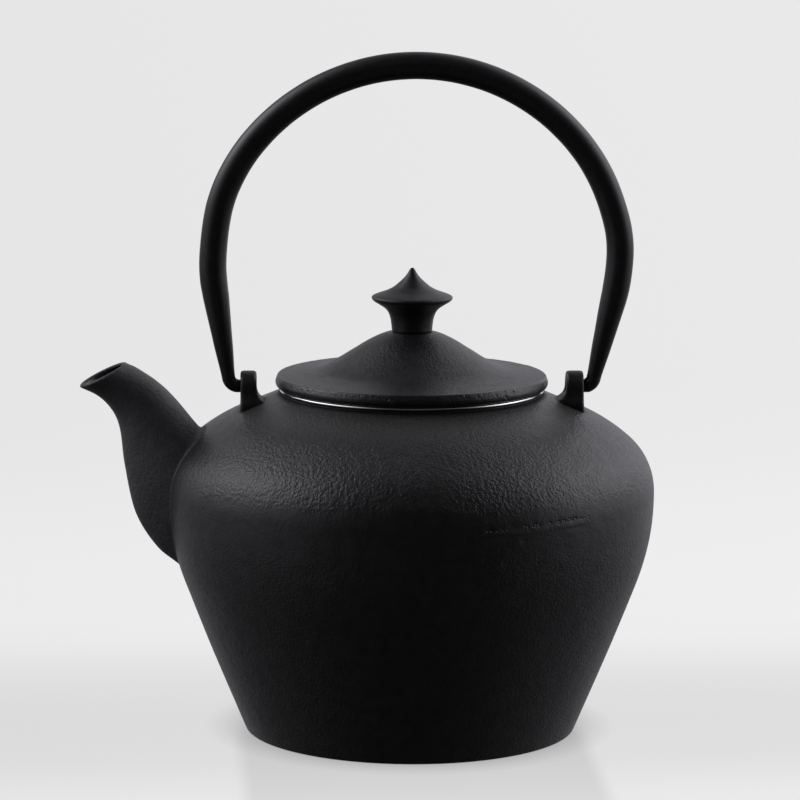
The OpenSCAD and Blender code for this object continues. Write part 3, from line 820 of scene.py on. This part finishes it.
def build_spout():
    angle = 2 * pi * np.arange(SPOUT_SEGS) / SPOUT_SEGS
    start = meet(angle, 0.0, 0.0)
    crease = spout_points(start, angle, 0.0)
    # direction away from the spout along the pot's surface
    along = np.roll(crease, -1, 0) - np.roll(crease, 1, 0)
    along /= np.linalg.norm(along, axis=1)[:, None]
    normal = pot_normal(crease)
    away = np.cross(normal, along)
    away *= np.sign((away * (crease - crease.mean(0))).sum(1))[:, None]
    # the fillet is widest on the upper side
    fillet = 0.55 + 1.4 * np.clip(np.sin(angle), 0, 1) ** 3
    foot = crease + away * fillet[:, None]
    on_pot = (pot_r(foot[:, 2]) - 0.04) / np.hypot(foot[:, 0], foot[:, 1])
    foot[:, :2] *= on_pot[:, None]
    # where the fillet runs out on the skin
    probe = 0.02
    speed = np.linalg.norm(spout_points(start + probe, angle, 0.0) - crease, axis=1) / probe
    clear = start + fillet * 1.15 / np.maximum(speed, 3.0)
    fillet_top = spout_points(clear, angle, 0.0)

    # two rings hidden in the pot's wall, then the fillet
    rings = [crease + away * (fillet * 0.2)[:, None] - normal * 1.3,
             foot - pot_normal(foot) * 1.1]
    for t in np.linspace(0, 1, FILLET_STEPS):
        rings.append((1 - t) ** 2 * foot + 2 * t * (1 - t) * crease + t * t * fillet_top)
    skin_start = len(rings)
    for t in np.linspace(0, 1, SPOUT_RINGS + 1)[1:]:
        rings.append(spout_points(clear + (LAST_STATION - clear) * t, angle, 0.0))
    # rounded lip
    tip = np.full(SPOUT_SEGS, float(LAST_STATION))
    tip_out, tip_in = (spout_points(tip, angle, inset) for inset in (0.0, LIP_WALL))
    middle = (tip_out + tip_in) / 2
    for turn in np.linspace(0, pi, 8)[1:-1]:
        rings.append(middle + (tip_out - middle) * cos(turn)
                     + LIP_DIR * (LIP_WALL / 2) * sin(turn) * 0.9)
    bore_start = len(rings)
    root = meet(angle, SPOUT_WALL, 1.0)
    for t in np.linspace(1, 0, BORE_RINGS):
        station = root + (LAST_STATION - root) * t
        wall = SPOUT_WALL + (LIP_WALL - SPOUT_WALL) * (station / LAST_STATION)
        rings.append(spout_points(station, angle, wall))
    rings = np.array(rings)

    # casting unevenness, growing from the fillet
    for k in range(skin_start, bore_start):
        fade = min(1.0, (k - skin_start + 1) / 6.0)
        for j in range(SPOUT_SEGS):
            point = rings[k, j]
            outward = point - rings[k].mean(0)
            outward /= np.linalg.norm(outward)
            rings[k, j] = point + outward * fade * (0.05 * fbm(point, 0.09, 5.0)
                                                    + 0.015 * fbm(point, 0.5, 9.0))
    row_mats = [0 if k < bore_start else 1 for k in range(len(rings))]
    return loft("spout_shell", rings, (M_SPOUT, M_ENAMEL), row_mats=row_mats)


register(build_spout(), "pot", "spout")

# ---------------------------------------------------------------------------
# lugs: cast ears with soft edges, a flared root and a drilled hole.
# Side is -1 for the lug at -X and 1 for the one at +X.
# ---------------------------------------------------------------------------
PIVOT_Z = 115.6
LUG_SEGS, LUG_HOLE_R, LUG_HOLE_REACH = 64, 2.22, 6
# drawn a little full, because rounding the edges takes some off all round
LUG_EXTRA_T, LUG_EXTRA_HW = {-1: 0.45, 1: 0.85}, 0.15
STEM_Z = 106.4
ROOT_FULLNESS = {-1: 1.0, 1: 1.5}
# root: height, spread towards the pot's axis, spread along Y
ROOT_STEPS = [(106.2, 3.6, 1.6), (110.6, 3.0, 1.1), (111.3, 1.9, 0.7),
              (112.1, 1.0, 0.4), (113.1, 0.4, 0.15), (114.6, 0.0, 0.0)]


def add_prism(verts, faces, bottom, top, z0, z1):
    """Adds a four-sided frustum; bottom and top are (x0, x1, y half width)."""
    base = len(verts)
    for (x0, x1, half_y), z in ((bottom, z0), (top, z1)):
        verts += [(x0, -half_y, z), (x1, -half_y, z), (x1, half_y, z), (x0, half_y, z)]
    for face in ((3, 2, 1, 0), (4, 5, 6, 7), (0, 1, 5, 4), (1, 2, 6, 5), (2, 3, 7, 6),
                 (3, 0, 4, 7)):
        faces.append([base + i for i in face])


def build_lug(node, side):
    low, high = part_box(node)
    centre_x = (low.x + high.x) / 2 / MM
    thick = (high.x - low.x) / MM + LUG_EXTRA_T[side]
    half_w = (high.y - low.y) / 2 / MM + LUG_EXTRA_HW
    x0, x1 = centre_x - thick / 2, centre_x + thick / 2
    # round head
    verts, faces = [], []
    for j in range(LUG_SEGS):
        angle = 2 * pi * j / LUG_SEGS
        k = (j + 1) % LUG_SEGS
        verts += [(x, half_w * cos(angle), PIVOT_Z + half_w * sin(angle)) for x in (x0, x1)]
        faces.append([2 * j, 2 * k, 2 * k + 1, 2 * j + 1])
    faces.append(list(range(0, 2 * LUG_SEGS, 2))[::-1])
    faces.append(list(range(1, 2 * LUG_SEGS, 2)))
    # stem, and a root that spreads into the shoulder, mostly towards the pot's axis
    add_prism(verts, faces, (x0, x1, half_w), (x0, x1, half_w), STEM_Z, PIVOT_Z)

    def section(inward, outward, spread_y):
        left, right = (outward, inward) if side < 0 else (inward, outward)
        return x0 - left, x1 + right, half_w + spread_y

    full = ROOT_FULLNESS[side]
    for (z0, in0, y0), (z1, in1, y1) in zip(ROOT_STEPS, ROOT_STEPS[1:]):
        add_prism(verts, faces, section(in0 * full, 0.3 * (z0 < 110), y0),
                  section(in1 * full, 0.0, y1), z0, z1 + 0.01)
    obj = make_object(node + "_ear", verts, faces)
    # weld the solids into one skin and soften it
    remesh = obj.modifiers.new("remesh", "REMESH")
    remesh.mode = "VOXEL"
    remesh.voxel_size = 0.00022
    remesh.use_smooth_shade = True
    smooth = obj.modifiers.new("smooth", "SMOOTH")
    smooth.factor = 0.5
    smooth.iterations = 110
    apply_modifiers(obj)
    drill(obj, LUG_HOLE_R, LUG_HOLE_REACH, (centre_x, 0, PIVOT_Z))
    set_material(obj, M_LUG)
    obj.data.polygons.foreach_set("use_smooth", [True] * len(obj.data.polygons))
    sharp_edges(obj, 50)
    return obj


for side, node in ((-1, "lug_left"), (1, "lug_right")):
    register(build_lug(node, side), "pot", node)

# ---------------------------------------------------------------------------
# bail handle: one swept rod that tapers into hooked ends
# ---------------------------------------------------------------------------
ARCH_W, ARCH_H, ARCH_Z = 67.5, 63.7, 158.6  # half width, height, and where the arch starts
SIDE_R = 60.3                               # radius of the arch's side arcs
ARCH_SET = 1.0                              # the arch's shift to +X
LEAN = {-1: 8.9, 1: 13.1}                   # lean of each straight leg
BEND_R, GRIP_R, PIN_R = 3.4, 4.4, 2.1
PIN_X = 52.1                                # the pins' inner ends
TAPER_Z = {-1: 147.5, 1: 146.5}             # where the taper ends below the grip
NECK_EXTRA = {-1: 0.12, 1: 0.30}            # thickness over the pin at the hook
BAIL_SEGS = 56
TOP_R = ((ARCH_W - SIDE_R) ** 2 + ARCH_H ** 2 - SIDE_R ** 2) / (2 * (ARCH_H - SIDE_R))
JOIN_A = degrees(atan2(TOP_R - ARCH_H, ARCH_W - SIDE_R))


def bail_half(side):
    """Centre line (x, z) from the end in the lug to the apex, with the side towards +x."""
    lean = LEAN[side]
    shift = ARCH_SET * side
    arch_x = ARCH_W - SIDE_R + shift
    leg_top = np.array([arch_x + SIDE_R * cosd(lean), ARCH_Z - SIDE_R * sind(lean)])
    low_z = PIVOT_Z + BEND_R * (1 - sind(lean))
    leg_low = np.array([leg_top[0] - (leg_top[1] - low_z) * tand(lean), low_z])
    bend_x = leg_low[0] - BEND_R * cosd(lean)
    line = [(PIN_X, PIVOT_Z), (PIN_X + 0.15, PIVOT_Z)]
    line += [(PIN_X + (bend_x - PIN_X) * t, PIVOT_Z) for t in (0.25, 0.5, 0.75)]
    line += arc((bend_x, PIVOT_Z + BEND_R), BEND_R, -90, -lean, 14)
    line += [tuple(leg_low + (leg_top - leg_low) * i / 26) for i in range(1, 26)]
    line += arc((arch_x, ARCH_Z), SIDE_R, -lean, JOIN_A, 44)
    line += arc((shift, ARCH_Z + ARCH_H - TOP_R), TOP_R, JOIN_A, 90, 40)[1:]
    return np.array(line)


def bail_radius(z, side, from_end):
    """Rod radius at height z, from_end points from the nearer end."""
    if from_end <= 4:
        return PIN_R if from_end > 0 else PIN_R - 0.25
    start = TAPER_Z[side]
    base = PIVOT_Z + BEND_R
    neck = PIN_R + NECK_EXTRA[side]
    radius = neck + (GRIP_R - neck) * np.clip((z - base) / (start - base), 0, 1)
    # a soft shoulder where the taper starts
    radius -= 0.10 * np.exp(-((z - start) / 1.6) ** 2) * (z < start + 3)
    radius += 0.12 * np.clip((z - PIVOT_Z - 6.0) / 6.0, 0, 1)
    if from_end <= 7:
        radius = min(radius, PIN_R + 0.04 * (from_end - 4))
    return float(radius)


def build_bail():
    right, left = bail_half(1), bail_half(-1)
    path = np.concatenate([right, (left * np.array([-1, 1]))[-2::-1]])
    side = [1] * len(right) + [-1] * (len(left) - 1)
    # bent by hand: the arch stands a few tenths of a millimetre to one side
    path[:, 0] += (0.50 * np.exp(-((path[:, 1] - 164.8) / 10.0) ** 2)
                   + 0.12 * np.clip((path[:, 1] - 124.0) / 20.0, 0, 1))
    along = np.gradient(path, axis=0)
    along /= np.linalg.norm(along, axis=1)[:, None]
    along[:5] = (1, 0)
    along[-5:] = (1, 0)
    rings = []
    for i, (x, z) in enumerate(path):
        from_end = min(i, len(path) - 1 - i)
        radius = bail_radius(z, side[i], from_end)
        normal_x, normal_z = -along[i, 1], along[i, 0]
        ring = []
        for j in range(BAIL_SEGS):
            angle = 2 * pi * j / BAIL_SEGS
            outward = np.array([normal_x * cos(angle), sin(angle), normal_z * cos(angle)])
            point = np.array([x, 0, z]) + outward * radius
            if from_end > 12:
                point = point + outward * (0.030 * fbm(point, 0.16, 21.0))
            ring.append(point)
        rings.append(ring)
    obj = loft("bail_rod", np.array(rings), (M_BAIL,), capped=True)
    sharp_edges(obj, 60)
    return obj


register(build_bail(), "bail", "bail_handle")

# ---------------------------------------------------------------------------
# lid
# ---------------------------------------------------------------------------
LID_R, LID_Z, LID_T = 45.4, 115.22, 3.0
SPIGOT_R, SPIGOT_H = 37.3, 6.0
SEAT_R, SEAT_Z, LID_BORE_R = 7.6, 133.9, 2.25   # the knob's seat and its screw hole
LID_TOP_R = 44.5                                # where the top meets the edge
# radius, z of the top surface
LID_KNOTS = np.array([(0, 134.2), (SEAT_R, 133.8), (13, 131.7), (19, 128.1), (25.9, 123.9),
                      (31, 121.4), (37, 120.25), (LID_TOP_R, 119.5)])


def lid_curve(radius):
    """Height of the lid's top at a radius."""
    knots = LID_KNOTS[:, 0]
    i = np.clip(np.searchsorted(knots, radius, side="right") - 1, 0, len(knots) - 2)
    u = (radius - knots[i]) / (knots[i + 1] - knots[i])
    return catmull(LID_KNOTS[:, 1], i + u)


def lid_relief(verts):
    """Casting unevenness on the top and the edge."""
    radii = np.hypot(verts[:, 0], verts[:, 1])
    top_z = lid_curve(np.clip(radii, 0, LID_TOP_R))
    top = (verts[:, 2] > top_z - 0.6) | (radii > 44.0)
    moved = verts.copy()
    for i in np.nonzero(top & (radii > 8.5))[0]:
        point = verts[i]
        lift = 0.045 * fbm(point, 0.09, 31.0) + 0.018 * fbm(point, 0.55, 7.0)
        if radii[i] > 43.5:
            lift += 0.05 * noise.noise(Vector(point * 0.9))
        moved[i, 2] += lift
        moved[i, :2] *= 1 + 0.3 * lift / 45
    return moved


def lid_material(centre):
    """Enamel (1) on the underside within the spigot, iron (0) elsewhere."""
    radius = hypot(centre[0], centre[1])
    below = centre[2] < lid_curve(min(max(radius, 7), LID_TOP_R)) - 1.4
    return 1 if below and radius < SPIGOT_R + 0.3 else 0


def build_lid():
    edge = [(LID_R - 2.6, LID_Z), (LID_R - 1.6, LID_Z + 0.02),
            *arc((LID_R - 2.0, LID_Z + 2.0), 2.0, -60, 22, 8),
            (LID_R - 0.42, LID_Z + 3.5), (LID_R - 0.62, LID_Z + 4.05),
            (LID_R - 0.85, LID_Z + 4.27)]
    top = [(x, float(lid_curve(x))) for x in np.linspace(LID_TOP_R, SEAT_R, 64)]
    seat = [(7.35, SEAT_Z), (6.0, SEAT_Z), (LID_BORE_R, SEAT_Z)]
    under = [(x, max(LID_Z + 1.2, float(lid_curve(max(x, 7.0))) - LID_T))
             for x in np.linspace(LID_BORE_R, SPIGOT_R - 3.6, 28)]
    spigot_z = LID_Z - SPIGOT_H
    spigot = [(SPIGOT_R - 3.2, LID_Z + 0.9), (SPIGOT_R - 2.9, spigot_z + 0.7),
              (SPIGOT_R - 2.6, spigot_z + 0.2), (SPIGOT_R - 2.1, spigot_z),
              (SPIGOT_R - 0.8, spigot_z), (SPIGOT_R - 0.3, spigot_z + 0.2),
              (SPIGOT_R - 0.05, spigot_z + 0.8), (SPIGOT_R, LID_Z - 0.9),
              (SPIGOT_R + 0.2, LID_Z - 0.2), (SPIGOT_R + 0.6, LID_Z)]
    points = [*resample(edge, 0.5), *top, *seat, *under, *spigot]
    profile = [points[0]]
    for point in points[1:]:
        if hypot(point[0] - profile[-1][0], point[1] - profile[-1][1]) > 0.04:
            profile.append(point)
    obj = closed_revolve("lid_shell", profile, 288, (M_LID, M_ENAMEL), lid_material,
                         lid_relief)
    sharp_edges(obj, 42)
    return obj


register(build_lid(), "lid_group", "lid")

# ---------------------------------------------------------------------------
# knob
# ---------------------------------------------------------------------------
KNOB_TOP = 155.3
# radius, z below the knob's top: a smooth curve down the outside
KNOB_CURVE = [
    (0.0, 0.0), (0.55, -0.18), (0.95, -0.75), (1.25, -1.3), (1.87, -2.3), (2.68, -3.3),
    (3.67, -4.3), (4.8, -5.3), (6.3, -6.5), (8.6, -7.7), (11.2, -8.65), (12.75, -9.25),
    (13.3, -9.60), (13.5, -10.0), (13.35, -10.4), (12.7, -11.1), (11.0, -12.15),
    (9.4, -13.2), (8.4, -14.2), (7.8, -15.2), (7.45, -16.2), (7.15, -17.3), (7.0, -18.3),
    (6.85, -19.3), (6.75, -20.3), (6.68, -20.9), (6.5, -21.25)]
# then straight lines across the foot and up the blind hole
KNOB_HOLE = [(6.2, -21.36), (4.0, -21.36), (2.02, -21.36), (2.02, -16.0), (2.02, -12.9),
             (0.0, -12.4)]


def knob_relief(verts):
    moved = verts.copy()
    radii = np.hypot(verts[:, 0], verts[:, 1])
    for i in np.nonzero(radii > 2.4)[0]:
        moved[i, :2] *= 1 + 0.05 * fbm(verts[i], 0.22, 41.0) / radii[i]
    return moved


def build_knob():
    spans = len(KNOB_CURVE) - 1
    curve = catmull(KNOB_CURVE, np.linspace(0, spans, spans * 5 + 1))
    profile = [(radius, KNOB_TOP + z) for radius, z in [*curve, *KNOB_HOLE]]
    obj = closed_revolve("knob_turned", profile, 160, (M_KNOB,), relief=knob_relief)
    sharp_edges(obj, 55)
    return obj


register(build_knob(), "lid_group", "lid_knob")

# ---------------------------------------------------------------------------
# infuser: rim ring, perforated wall, perforated base
# ---------------------------------------------------------------------------
FLANGE_R, FLANGE_T = 44.07, 0.6
BASKET_R, BASKET_Z, SHEET, BAND_H = 38.9, 66.0, 0.5, 9.0
FLANGE_Z = MOUTH_Z + 0.01
BAND_Z = FLANGE_Z - BAND_H
# wall: cells round, rows, plain margins, hole radius
WALL_COLS, WALL_ROWS, WALL_MARGIN, WALL_HOLE_R = 96, 15, 1.6, 0.74
# base: hole pitch and radius, the circle that holds their centres, and a ring outside it
BASE_PITCH, BASE_HOLE_R, BASE_FIELD_R, BASE_RING_R = 3.0, 0.8, 34.6, 36.2


def build_rim():
    basket_in, flange_top = BASKET_R - SHEET, FLANGE_Z + FLANGE_T
    profile = [(basket_in, BAND_Z), (BASKET_R, BAND_Z), (BASKET_R, FLANGE_Z - 0.9),
               (BASKET_R + 0.06, FLANGE_Z - 0.45), (BASKET_R + 0.25, FLANGE_Z - 0.15),
               (BASKET_R + 0.6, FLANGE_Z), (41.5, FLANGE_Z), (FLANGE_R - 0.02, FLANGE_Z),
               (FLANGE_R, FLANGE_Z + 0.06), (FLANGE_R - 0.17, FLANGE_Z + 0.48),
               (FLANGE_R - 0.35, flange_top), (41.5, flange_top),
               (BASKET_R + 0.5, flange_top), (BASKET_R, flange_top - 0.08),
               (BASKET_R - 0.35, flange_top - 0.4), (basket_in, flange_top - 0.9)]
    obj = closed_revolve("infuser_rim_ring", profile, 288, (M_RING,))
    sharp_edges(obj, 50)
    return obj


def build_wall():
    """A sheet cylinder of cells, each a rectangle with an octagonal hole, rows staggered.
    Places round the wall are counted in half cells."""
    halves = 2 * WALL_COLS
    bottom, top = BASKET_Z + 0.02, BAND_Z - 0.02
    levels = np.linspace(bottom + WALL_MARGIN, top - WALL_MARGIN, WALL_ROWS + 1)
    cell_w = 2 * pi * BASKET_R / WALL_COLS
    verts, faces, index = [], [], {}

    def vert(place, z, radius):
        key = (round((place % halves) * 1000), round(z * 1000), round(radius * 100))
        if key not in index:
            index[key] = len(verts)
            angle = 2 * pi * place / halves
            verts.append((radius * cos(angle), radius * sin(angle), z))
        return index[key]

    def add_face(corners, flip=False):
        face = [vert(*corner) for corner in corners]
        faces.append(face[::-1] if flip else face)

    # outline and hole of every cell, both with eight points
    cells = []
    for k in range(WALL_ROWS):
        low, high = levels[k], levels[k + 1]
        middle = (low + high) / 2
        for j in range(WALL_COLS):
            left = 2 * j + (k % 2)
            outline = [(left, low), (left + 1, low), (left + 2, low), (left + 2, middle),
                       (left + 2, high), (left + 1, high), (left, high), (left, middle)]
            hole = []
            for i in range(8):
                angle = -0.75 * pi + i * pi / 4
                hole.append((left + 1 + 2 * WALL_HOLE_R * cos(angle) / cell_w,
                             middle + WALL_HOLE_R * sin(angle)))
            cells.append((outline, hole))

    outside, inside = BASKET_R, BASKET_R - SHEET
    for radius, flip in ((outside, False), (inside, True)):
        for outline, hole in cells:
            for i in range(8):
                i2 = (i + 1) % 8
                add_face([(*outline[i], radius), (*outline[i2], radius),
                          (*hole[i2], radius), (*hole[i], radius)], flip)
        # plain margins below and above
        for low, high in ((bottom, levels[0]), (levels[-1], top)):
            for j in range(halves):
                add_face([(j, low, radius), (j + 1, low, radius), (j + 1, high, radius),
                          (j, high, radius)], flip)
    for _, hole in cells:
        for i in range(8):
            i2 = (i + 1) % 8
            add_face([(*hole[i], outside), (*hole[i2], outside), (*hole[i2], inside),
                      (*hole[i], inside)])
    for z, flip in ((bottom, False), (top, True)):
        for j in range(halves):
            add_face([(j + 1, z, outside), (j, z, outside), (j, z, inside),
                      (j + 1, z, inside)], flip)
    obj = make_object("infuser_wall_sheet", verts, faces, (M_MESH,))
    fix_normals(obj)
    sharp_edges(obj, 40)
    return obj


def build_floor():
    """A punched disc, triangulated round its holes."""
    points, edges = [], []

    def add_loop(x, y, radius, count):
        base = len(points)
        for j in range(count):
            angle = 2 * pi * j / count
            points.append(Vector((x + radius * cos(angle), y + radius * sin(angle))))
        edges.extend((base + j, base + (j + 1) % count) for j in range(count))

    add_loop(0, 0, BASKET_R - 0.02, 144)
    add_loop(0, 0, BASE_RING_R, 96)
    centres = []
    for row in range(-13, 14):
        for column in range(-13, 14):
            x = (column + (row % 2) * 0.5) * BASE_PITCH
            y = row * BASE_PITCH * 0.866
            if hypot(x, y) < BASE_FIELD_R:
                centres.append((x, y))
    for x, y in centres:
        add_loop(x, y, BASE_HOLE_R, 10)
    flat, _, found, *_ = geometry.delaunay_2d_cdt(points, edges, [], 1, 1e-5)
    flat = [np.array([v.x, v.y]) for v in flat]
    centres = np.array(centres)
    # keep the triangles that don't lie in a hole
    triangles = []
    for face in found:
        x, y = np.mean([flat[i] for i in face], 0)
        if np.hypot(centres[:, 0] - x, centres[:, 1] - y).min() > 0.62:
            triangles.append(list(face))
    used = sorted({i for face in triangles for i in face})
    renumber = {i: k for k, i in enumerate(used)}
    count = len(used)
    verts = [(*flat[i], z) for z in (BASKET_Z - SHEET, BASKET_Z) for i in used]
    faces, directed = [], {}
    for face in triangles:
        lower = [renumber[i] for i in face]
        faces.append(lower[::-1])
        faces.append([i + count for i in lower])
        directed.update(dict.fromkeys(zip(lower, lower[1:] + lower[:1])))
    # walls along the edges that have one face only
    for i, j in directed:
        if (j, i) not in directed:
            faces.append([i, j, j + count, i + count])
    obj = make_object("infuser_floor_sheet", verts, faces, (M_MESH,))
    fix_normals(obj)
    sharp_edges(obj, 40)
    return obj


for obj, node, slot in ((build_rim(), "infuser_rim", "polished_steel"),
                        (build_wall(), "infuser_basket", "perforated_steel"),
                        (build_floor(), "infuser_base", "perforated_steel")):
    register(obj, "infuser", node)

# the screw and washer keep their CAD shape, with a steel finish
for node in ("knob_screw", "knob_washer"):
    set_material(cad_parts[node], M_SCREW)

# ---------------------------------------------------------------------------
# floor
# ---------------------------------------------------------------------------
YAW = 2.0               # the camera's turn about Z, also followed by the floor's shading
FLOOR_R, FLOOR_Z, FLOOR_SEGS = 4000, -0.02, 96
# depth behind the pot's axis in metres, and the painted brightness of the table and sweep there
# (painted light and shade)
SWEEP = [(-0.115, 0.823), (-0.094, 0.805), (-0.075, 0.776), (-0.049, 0.737),
         (-0.023, 0.725), (0.005, 0.720), (0.034, 0.727), (0.065, 0.747), (0.081, 0.766),
         (0.097, 0.789), (0.113, 0.812), (0.130, 0.830), (0.165, 0.844), (0.28, 0.842),
         (0.41, 0.824), (0.52, 0.808), (0.72, 0.798)]


def sweep_color(mat, depth):
    """The SWEEP table as a colour ramp over depth."""
    near, far = SWEEP[0][0], SWEEP[-1][0]
    ramp = mat.new("ValToRGB")
    mat.put(ramp.inputs[0], mat.ramp(depth, span=(near, far), to=(0.0, 1.0), kind="LINEAR"))
    stops = ramp.color_ramp.elements
    for stop, place, (_, value) in ((stops[0], 0.0, SWEEP[0]), (stops[1], 1.0, SWEEP[-1])):
        stop.position = place
        stop.color = (value, value, value, 1.0)
    for place, value in SWEEP[1:-1]:
        stops.new((place - near) / (far - near)).color = (value, value, value, 1.0)
    ramp.color_ramp.interpolation = "LINEAR"
    return ramp.outputs[0]


def floor_material():
    """A glowing floor with painted light: brightness painted by depth, a painted contact shadow
    and a painted reflection (sheen).
    """
    mat = Shader("stage_floor")
    x, y, _ = mat.axes
    depth = mat.add(mat.mul(y, cosd(YAW)), mat.mul(x, -sind(YAW)))
    across = mat.add(mat.mul(x, cosd(YAW)), mat.mul(y, sind(YAW)))
    sweep = sweep_color(mat, depth)
    # sideways slope of the view line; the camera is about this far from the axis
    camera_back, nearest = 1.333, -0.5
    side = mat.math("DIVIDE", across,
                    mat.add(mat.math("MAXIMUM", depth, nearest), camera_back))
    # only where the main camera looks: elsewhere the floor is one plain tone
    seen = mat.mul(mat.fall(mat.math("ABSOLUTE", side), span=(0.13, 0.36)),
                   mat.rise(depth, span=(-0.36, -0.12)))
    # painted light: slightly brighter to the right
    tilt_limit, tilt_amount = 0.12, 0.16
    tilt = mat.math("MINIMUM", mat.math("MAXIMUM", side, -tilt_limit), tilt_limit)
    tilt = mat.add(mat.mul(mat.mul(tilt, tilt_amount), seen), 1.0)
    tone = mat.mix_color(seen, [0.80, 0.80, 0.80], sweep)
    # the table's sheen, a painted reflection: a faint mirror image of the dark pot in front of
    # its foot
    sheen_shift, sheen_depth = 0.001, 0.16
    width = mat.fall(mat.math("ABSOLUTE", mat.add(across, sheen_shift)),
                     span=(0.0535, 0.0610))
    sheen = mat.sub(1.0, mat.mul(mat.mul(width, sheen_depth),
                                 mat.fall(depth, span=(-0.02, 0.01))))
    sheen = mat.mix(mat.rise(depth, span=(-0.145, -0.090)), 1.0, sheen)
    # painted contact shadow: the floor darkens where the pot's foot is near
    contact_power = 0.28
    contact = mat.math("POWER", mat.openness(samples=8, distance=0.013), contact_power)
    shade = mat.mul(mat.mul(contact, sheen), tilt)
    # the tint is wholly the first colour
    tint = mat.mix_color(0.0, [1.003, 1.001, 1.004], [1.0, 1.0, 1.0])
    glow = mat.new("Emission")
    mat.put(glow.inputs[0], mat.mix_color(1.0, tone, tint, blend="MULTIPLY"))
    mat.put(glow.inputs[1], shade)
    # clear from below, so that the pot's underside can be looked at
    either = mat.new("MixShader")
    mat.put(either.inputs[0], mat.new("NewGeometry").outputs["Backfacing"])
    mat.put(either.inputs[1], glow.outputs[0])
    mat.put(either.inputs[2], mat.new("BsdfTransparent").outputs[0])
    mat.put(mat.output.inputs[0], either.outputs[0])
    return mat.material


def build_stage():
    verts = [(0, 0, FLOOR_Z)]
    add_ring(verts, FLOOR_R, FLOOR_Z, FLOOR_SEGS)
    faces = [(0, 1 + j, 1 + (j + 1) % FLOOR_SEGS) for j in range(FLOOR_SEGS)]
    obj = make_object("stage_floor", verts, faces, (floor_material(),), smooth=False)
    obj.visible_glossy = False
    obj.visible_diffuse = False
    obj.visible_shadow = False


build_stage()

# ---------------------------------------------------------------------------
# world
# ---------------------------------------------------------------------------
# soft light sources: azimuth from -Y, positive towards +X; elevation; sharpness; strength
LIGHTS = [
    (-120, -45, 8, 0.057), (-60, -45, 8, 0.008), (0, -45, 8, 0.052),
    (60, -45, 8, 0.028), (120, -45, 8, 0.09), (-160, -12, 13, 0.437),
    (-130, -12, 13, 0.026), (-100, -12, 13, 0.11), (-75, -12, 13, 0.193),
    (-50, -12, 13, 0.06), (0, -12, 13, 0.043), (75, -12, 13, 0.114),
    (130, -12, 13, 0.228), (160, -12, 13, 0.322), (-140, 14, 15, 0.168),
    (-115, 14, 15, 0.129), (-70, 14, 15, 0.327), (92, 14, 15, 1.521),
    (140, 14, 15, 0.873), (165, 14, 15, 0.057), (180, 14, 15, 0.342),
    (-108, 36, 15, 3.367), (-82, 36, 15, 1.101), (-20, 36, 15, 0.032),
    (20, 36, 15, 0.054), (55, 36, 15, 0.08), (108, 36, 15, 2.319),
    (165, 36, 15, 0.403), (150, 60, 13, 0.244),
]
LIGHT_TINT = (1.0, 0.985, 1.06)
BACKDROP_TINT, BACKDROP = (0.985, 0.995, 1.0), 0.80     # colour and strength


def build_world():
    """Soft boxes mostly to the sides, dark towards -Y; the camera sees a pale backdrop."""
    world = bpy.data.worlds.new("studio")
    SCENE.world = world
    world.use_nodes = True
    nodes = Nodes(world.node_tree)

    def wire(kind, *values, output=0, **props):
        """Adds a node, fills its first inputs and returns an output."""
        node = nodes.new(kind, **props)
        for socket, value in zip(node.inputs, values):
            nodes.put(socket, value)
        return node.outputs[output]

    direction = wire("TexCoord", output="Generated")
    total = None
    for azimuth, elevation, sharpness, power in LIGHTS:
        toward = Vector((sind(azimuth) * cosd(elevation), -cosd(azimuth) * cosd(elevation),
                         sind(elevation)))
        dot = wire("VectorMath", direction, toward, output="Value", operation="DOT_PRODUCT")
        # power * exp(sharpness * (dot - 1))
        exponent = wire("Math", dot, sharpness, log(power) - sharpness,
                        operation="MULTIPLY_ADD")
        lobe = wire("Math", exponent, operation="EXPONENT")
        total = lobe if total is None else wire("Math", total, lobe, operation="ADD")
    studio = wire("Background", LIGHT_TINT, total)
    backdrop = wire("Background", BACKDROP_TINT, BACKDROP)
    to_camera = wire("LightPath", output="Is Camera Ray")
    mixed = wire("MixShader", to_camera, studio, backdrop)
    nodes.put(nodes.new("OutputWorld").inputs[0], mixed)
    world.cycles.sampling_method = "MANUAL"
    world.cycles.sample_map_resolution = 512


build_world()

# ---------------------------------------------------------------------------
# camera
# ---------------------------------------------------------------------------
ELEVATION, ROLL, DISTANCE = 9.2, 0.3, 1350.0
AIM = np.array([-3.86, 0.0, 110.8])
SENSOR, LENS = 36.0, 182.25


def build_camera():
    data = bpy.data.cameras.new("camera")
    data.sensor_width = SENSOR
    data.lens = LENS
    data.clip_end = 20.0
    camera = bpy.data.objects.new("camera", data)
    back = np.array([0, -cosd(ELEVATION), sind(ELEVATION)])
    up = np.array([0, sind(ELEVATION), cosd(ELEVATION)])
    right = np.array([1.0, 0, 0])
    place = AIM + DISTANCE * back
    turn = np.array([[cosd(-YAW), -sind(-YAW), 0], [sind(-YAW), cosd(-YAW), 0], [0, 0, 1]])
    place, back, up, right = turn @ place, turn @ back, turn @ up, turn @ right
    up, right = (up * cosd(ROLL) - right * sind(ROLL),
                 right * cosd(ROLL) + up * sind(ROLL))
    rows = np.column_stack([right, up, back, place * MM]).tolist()
    camera.matrix_world = Matrix(rows + [[0, 0, 0, 1]])
    SCENE.collection.objects.link(camera)
    SCENE.camera = camera


build_camera()
SCENE.view_settings.view_transform = "Standard"
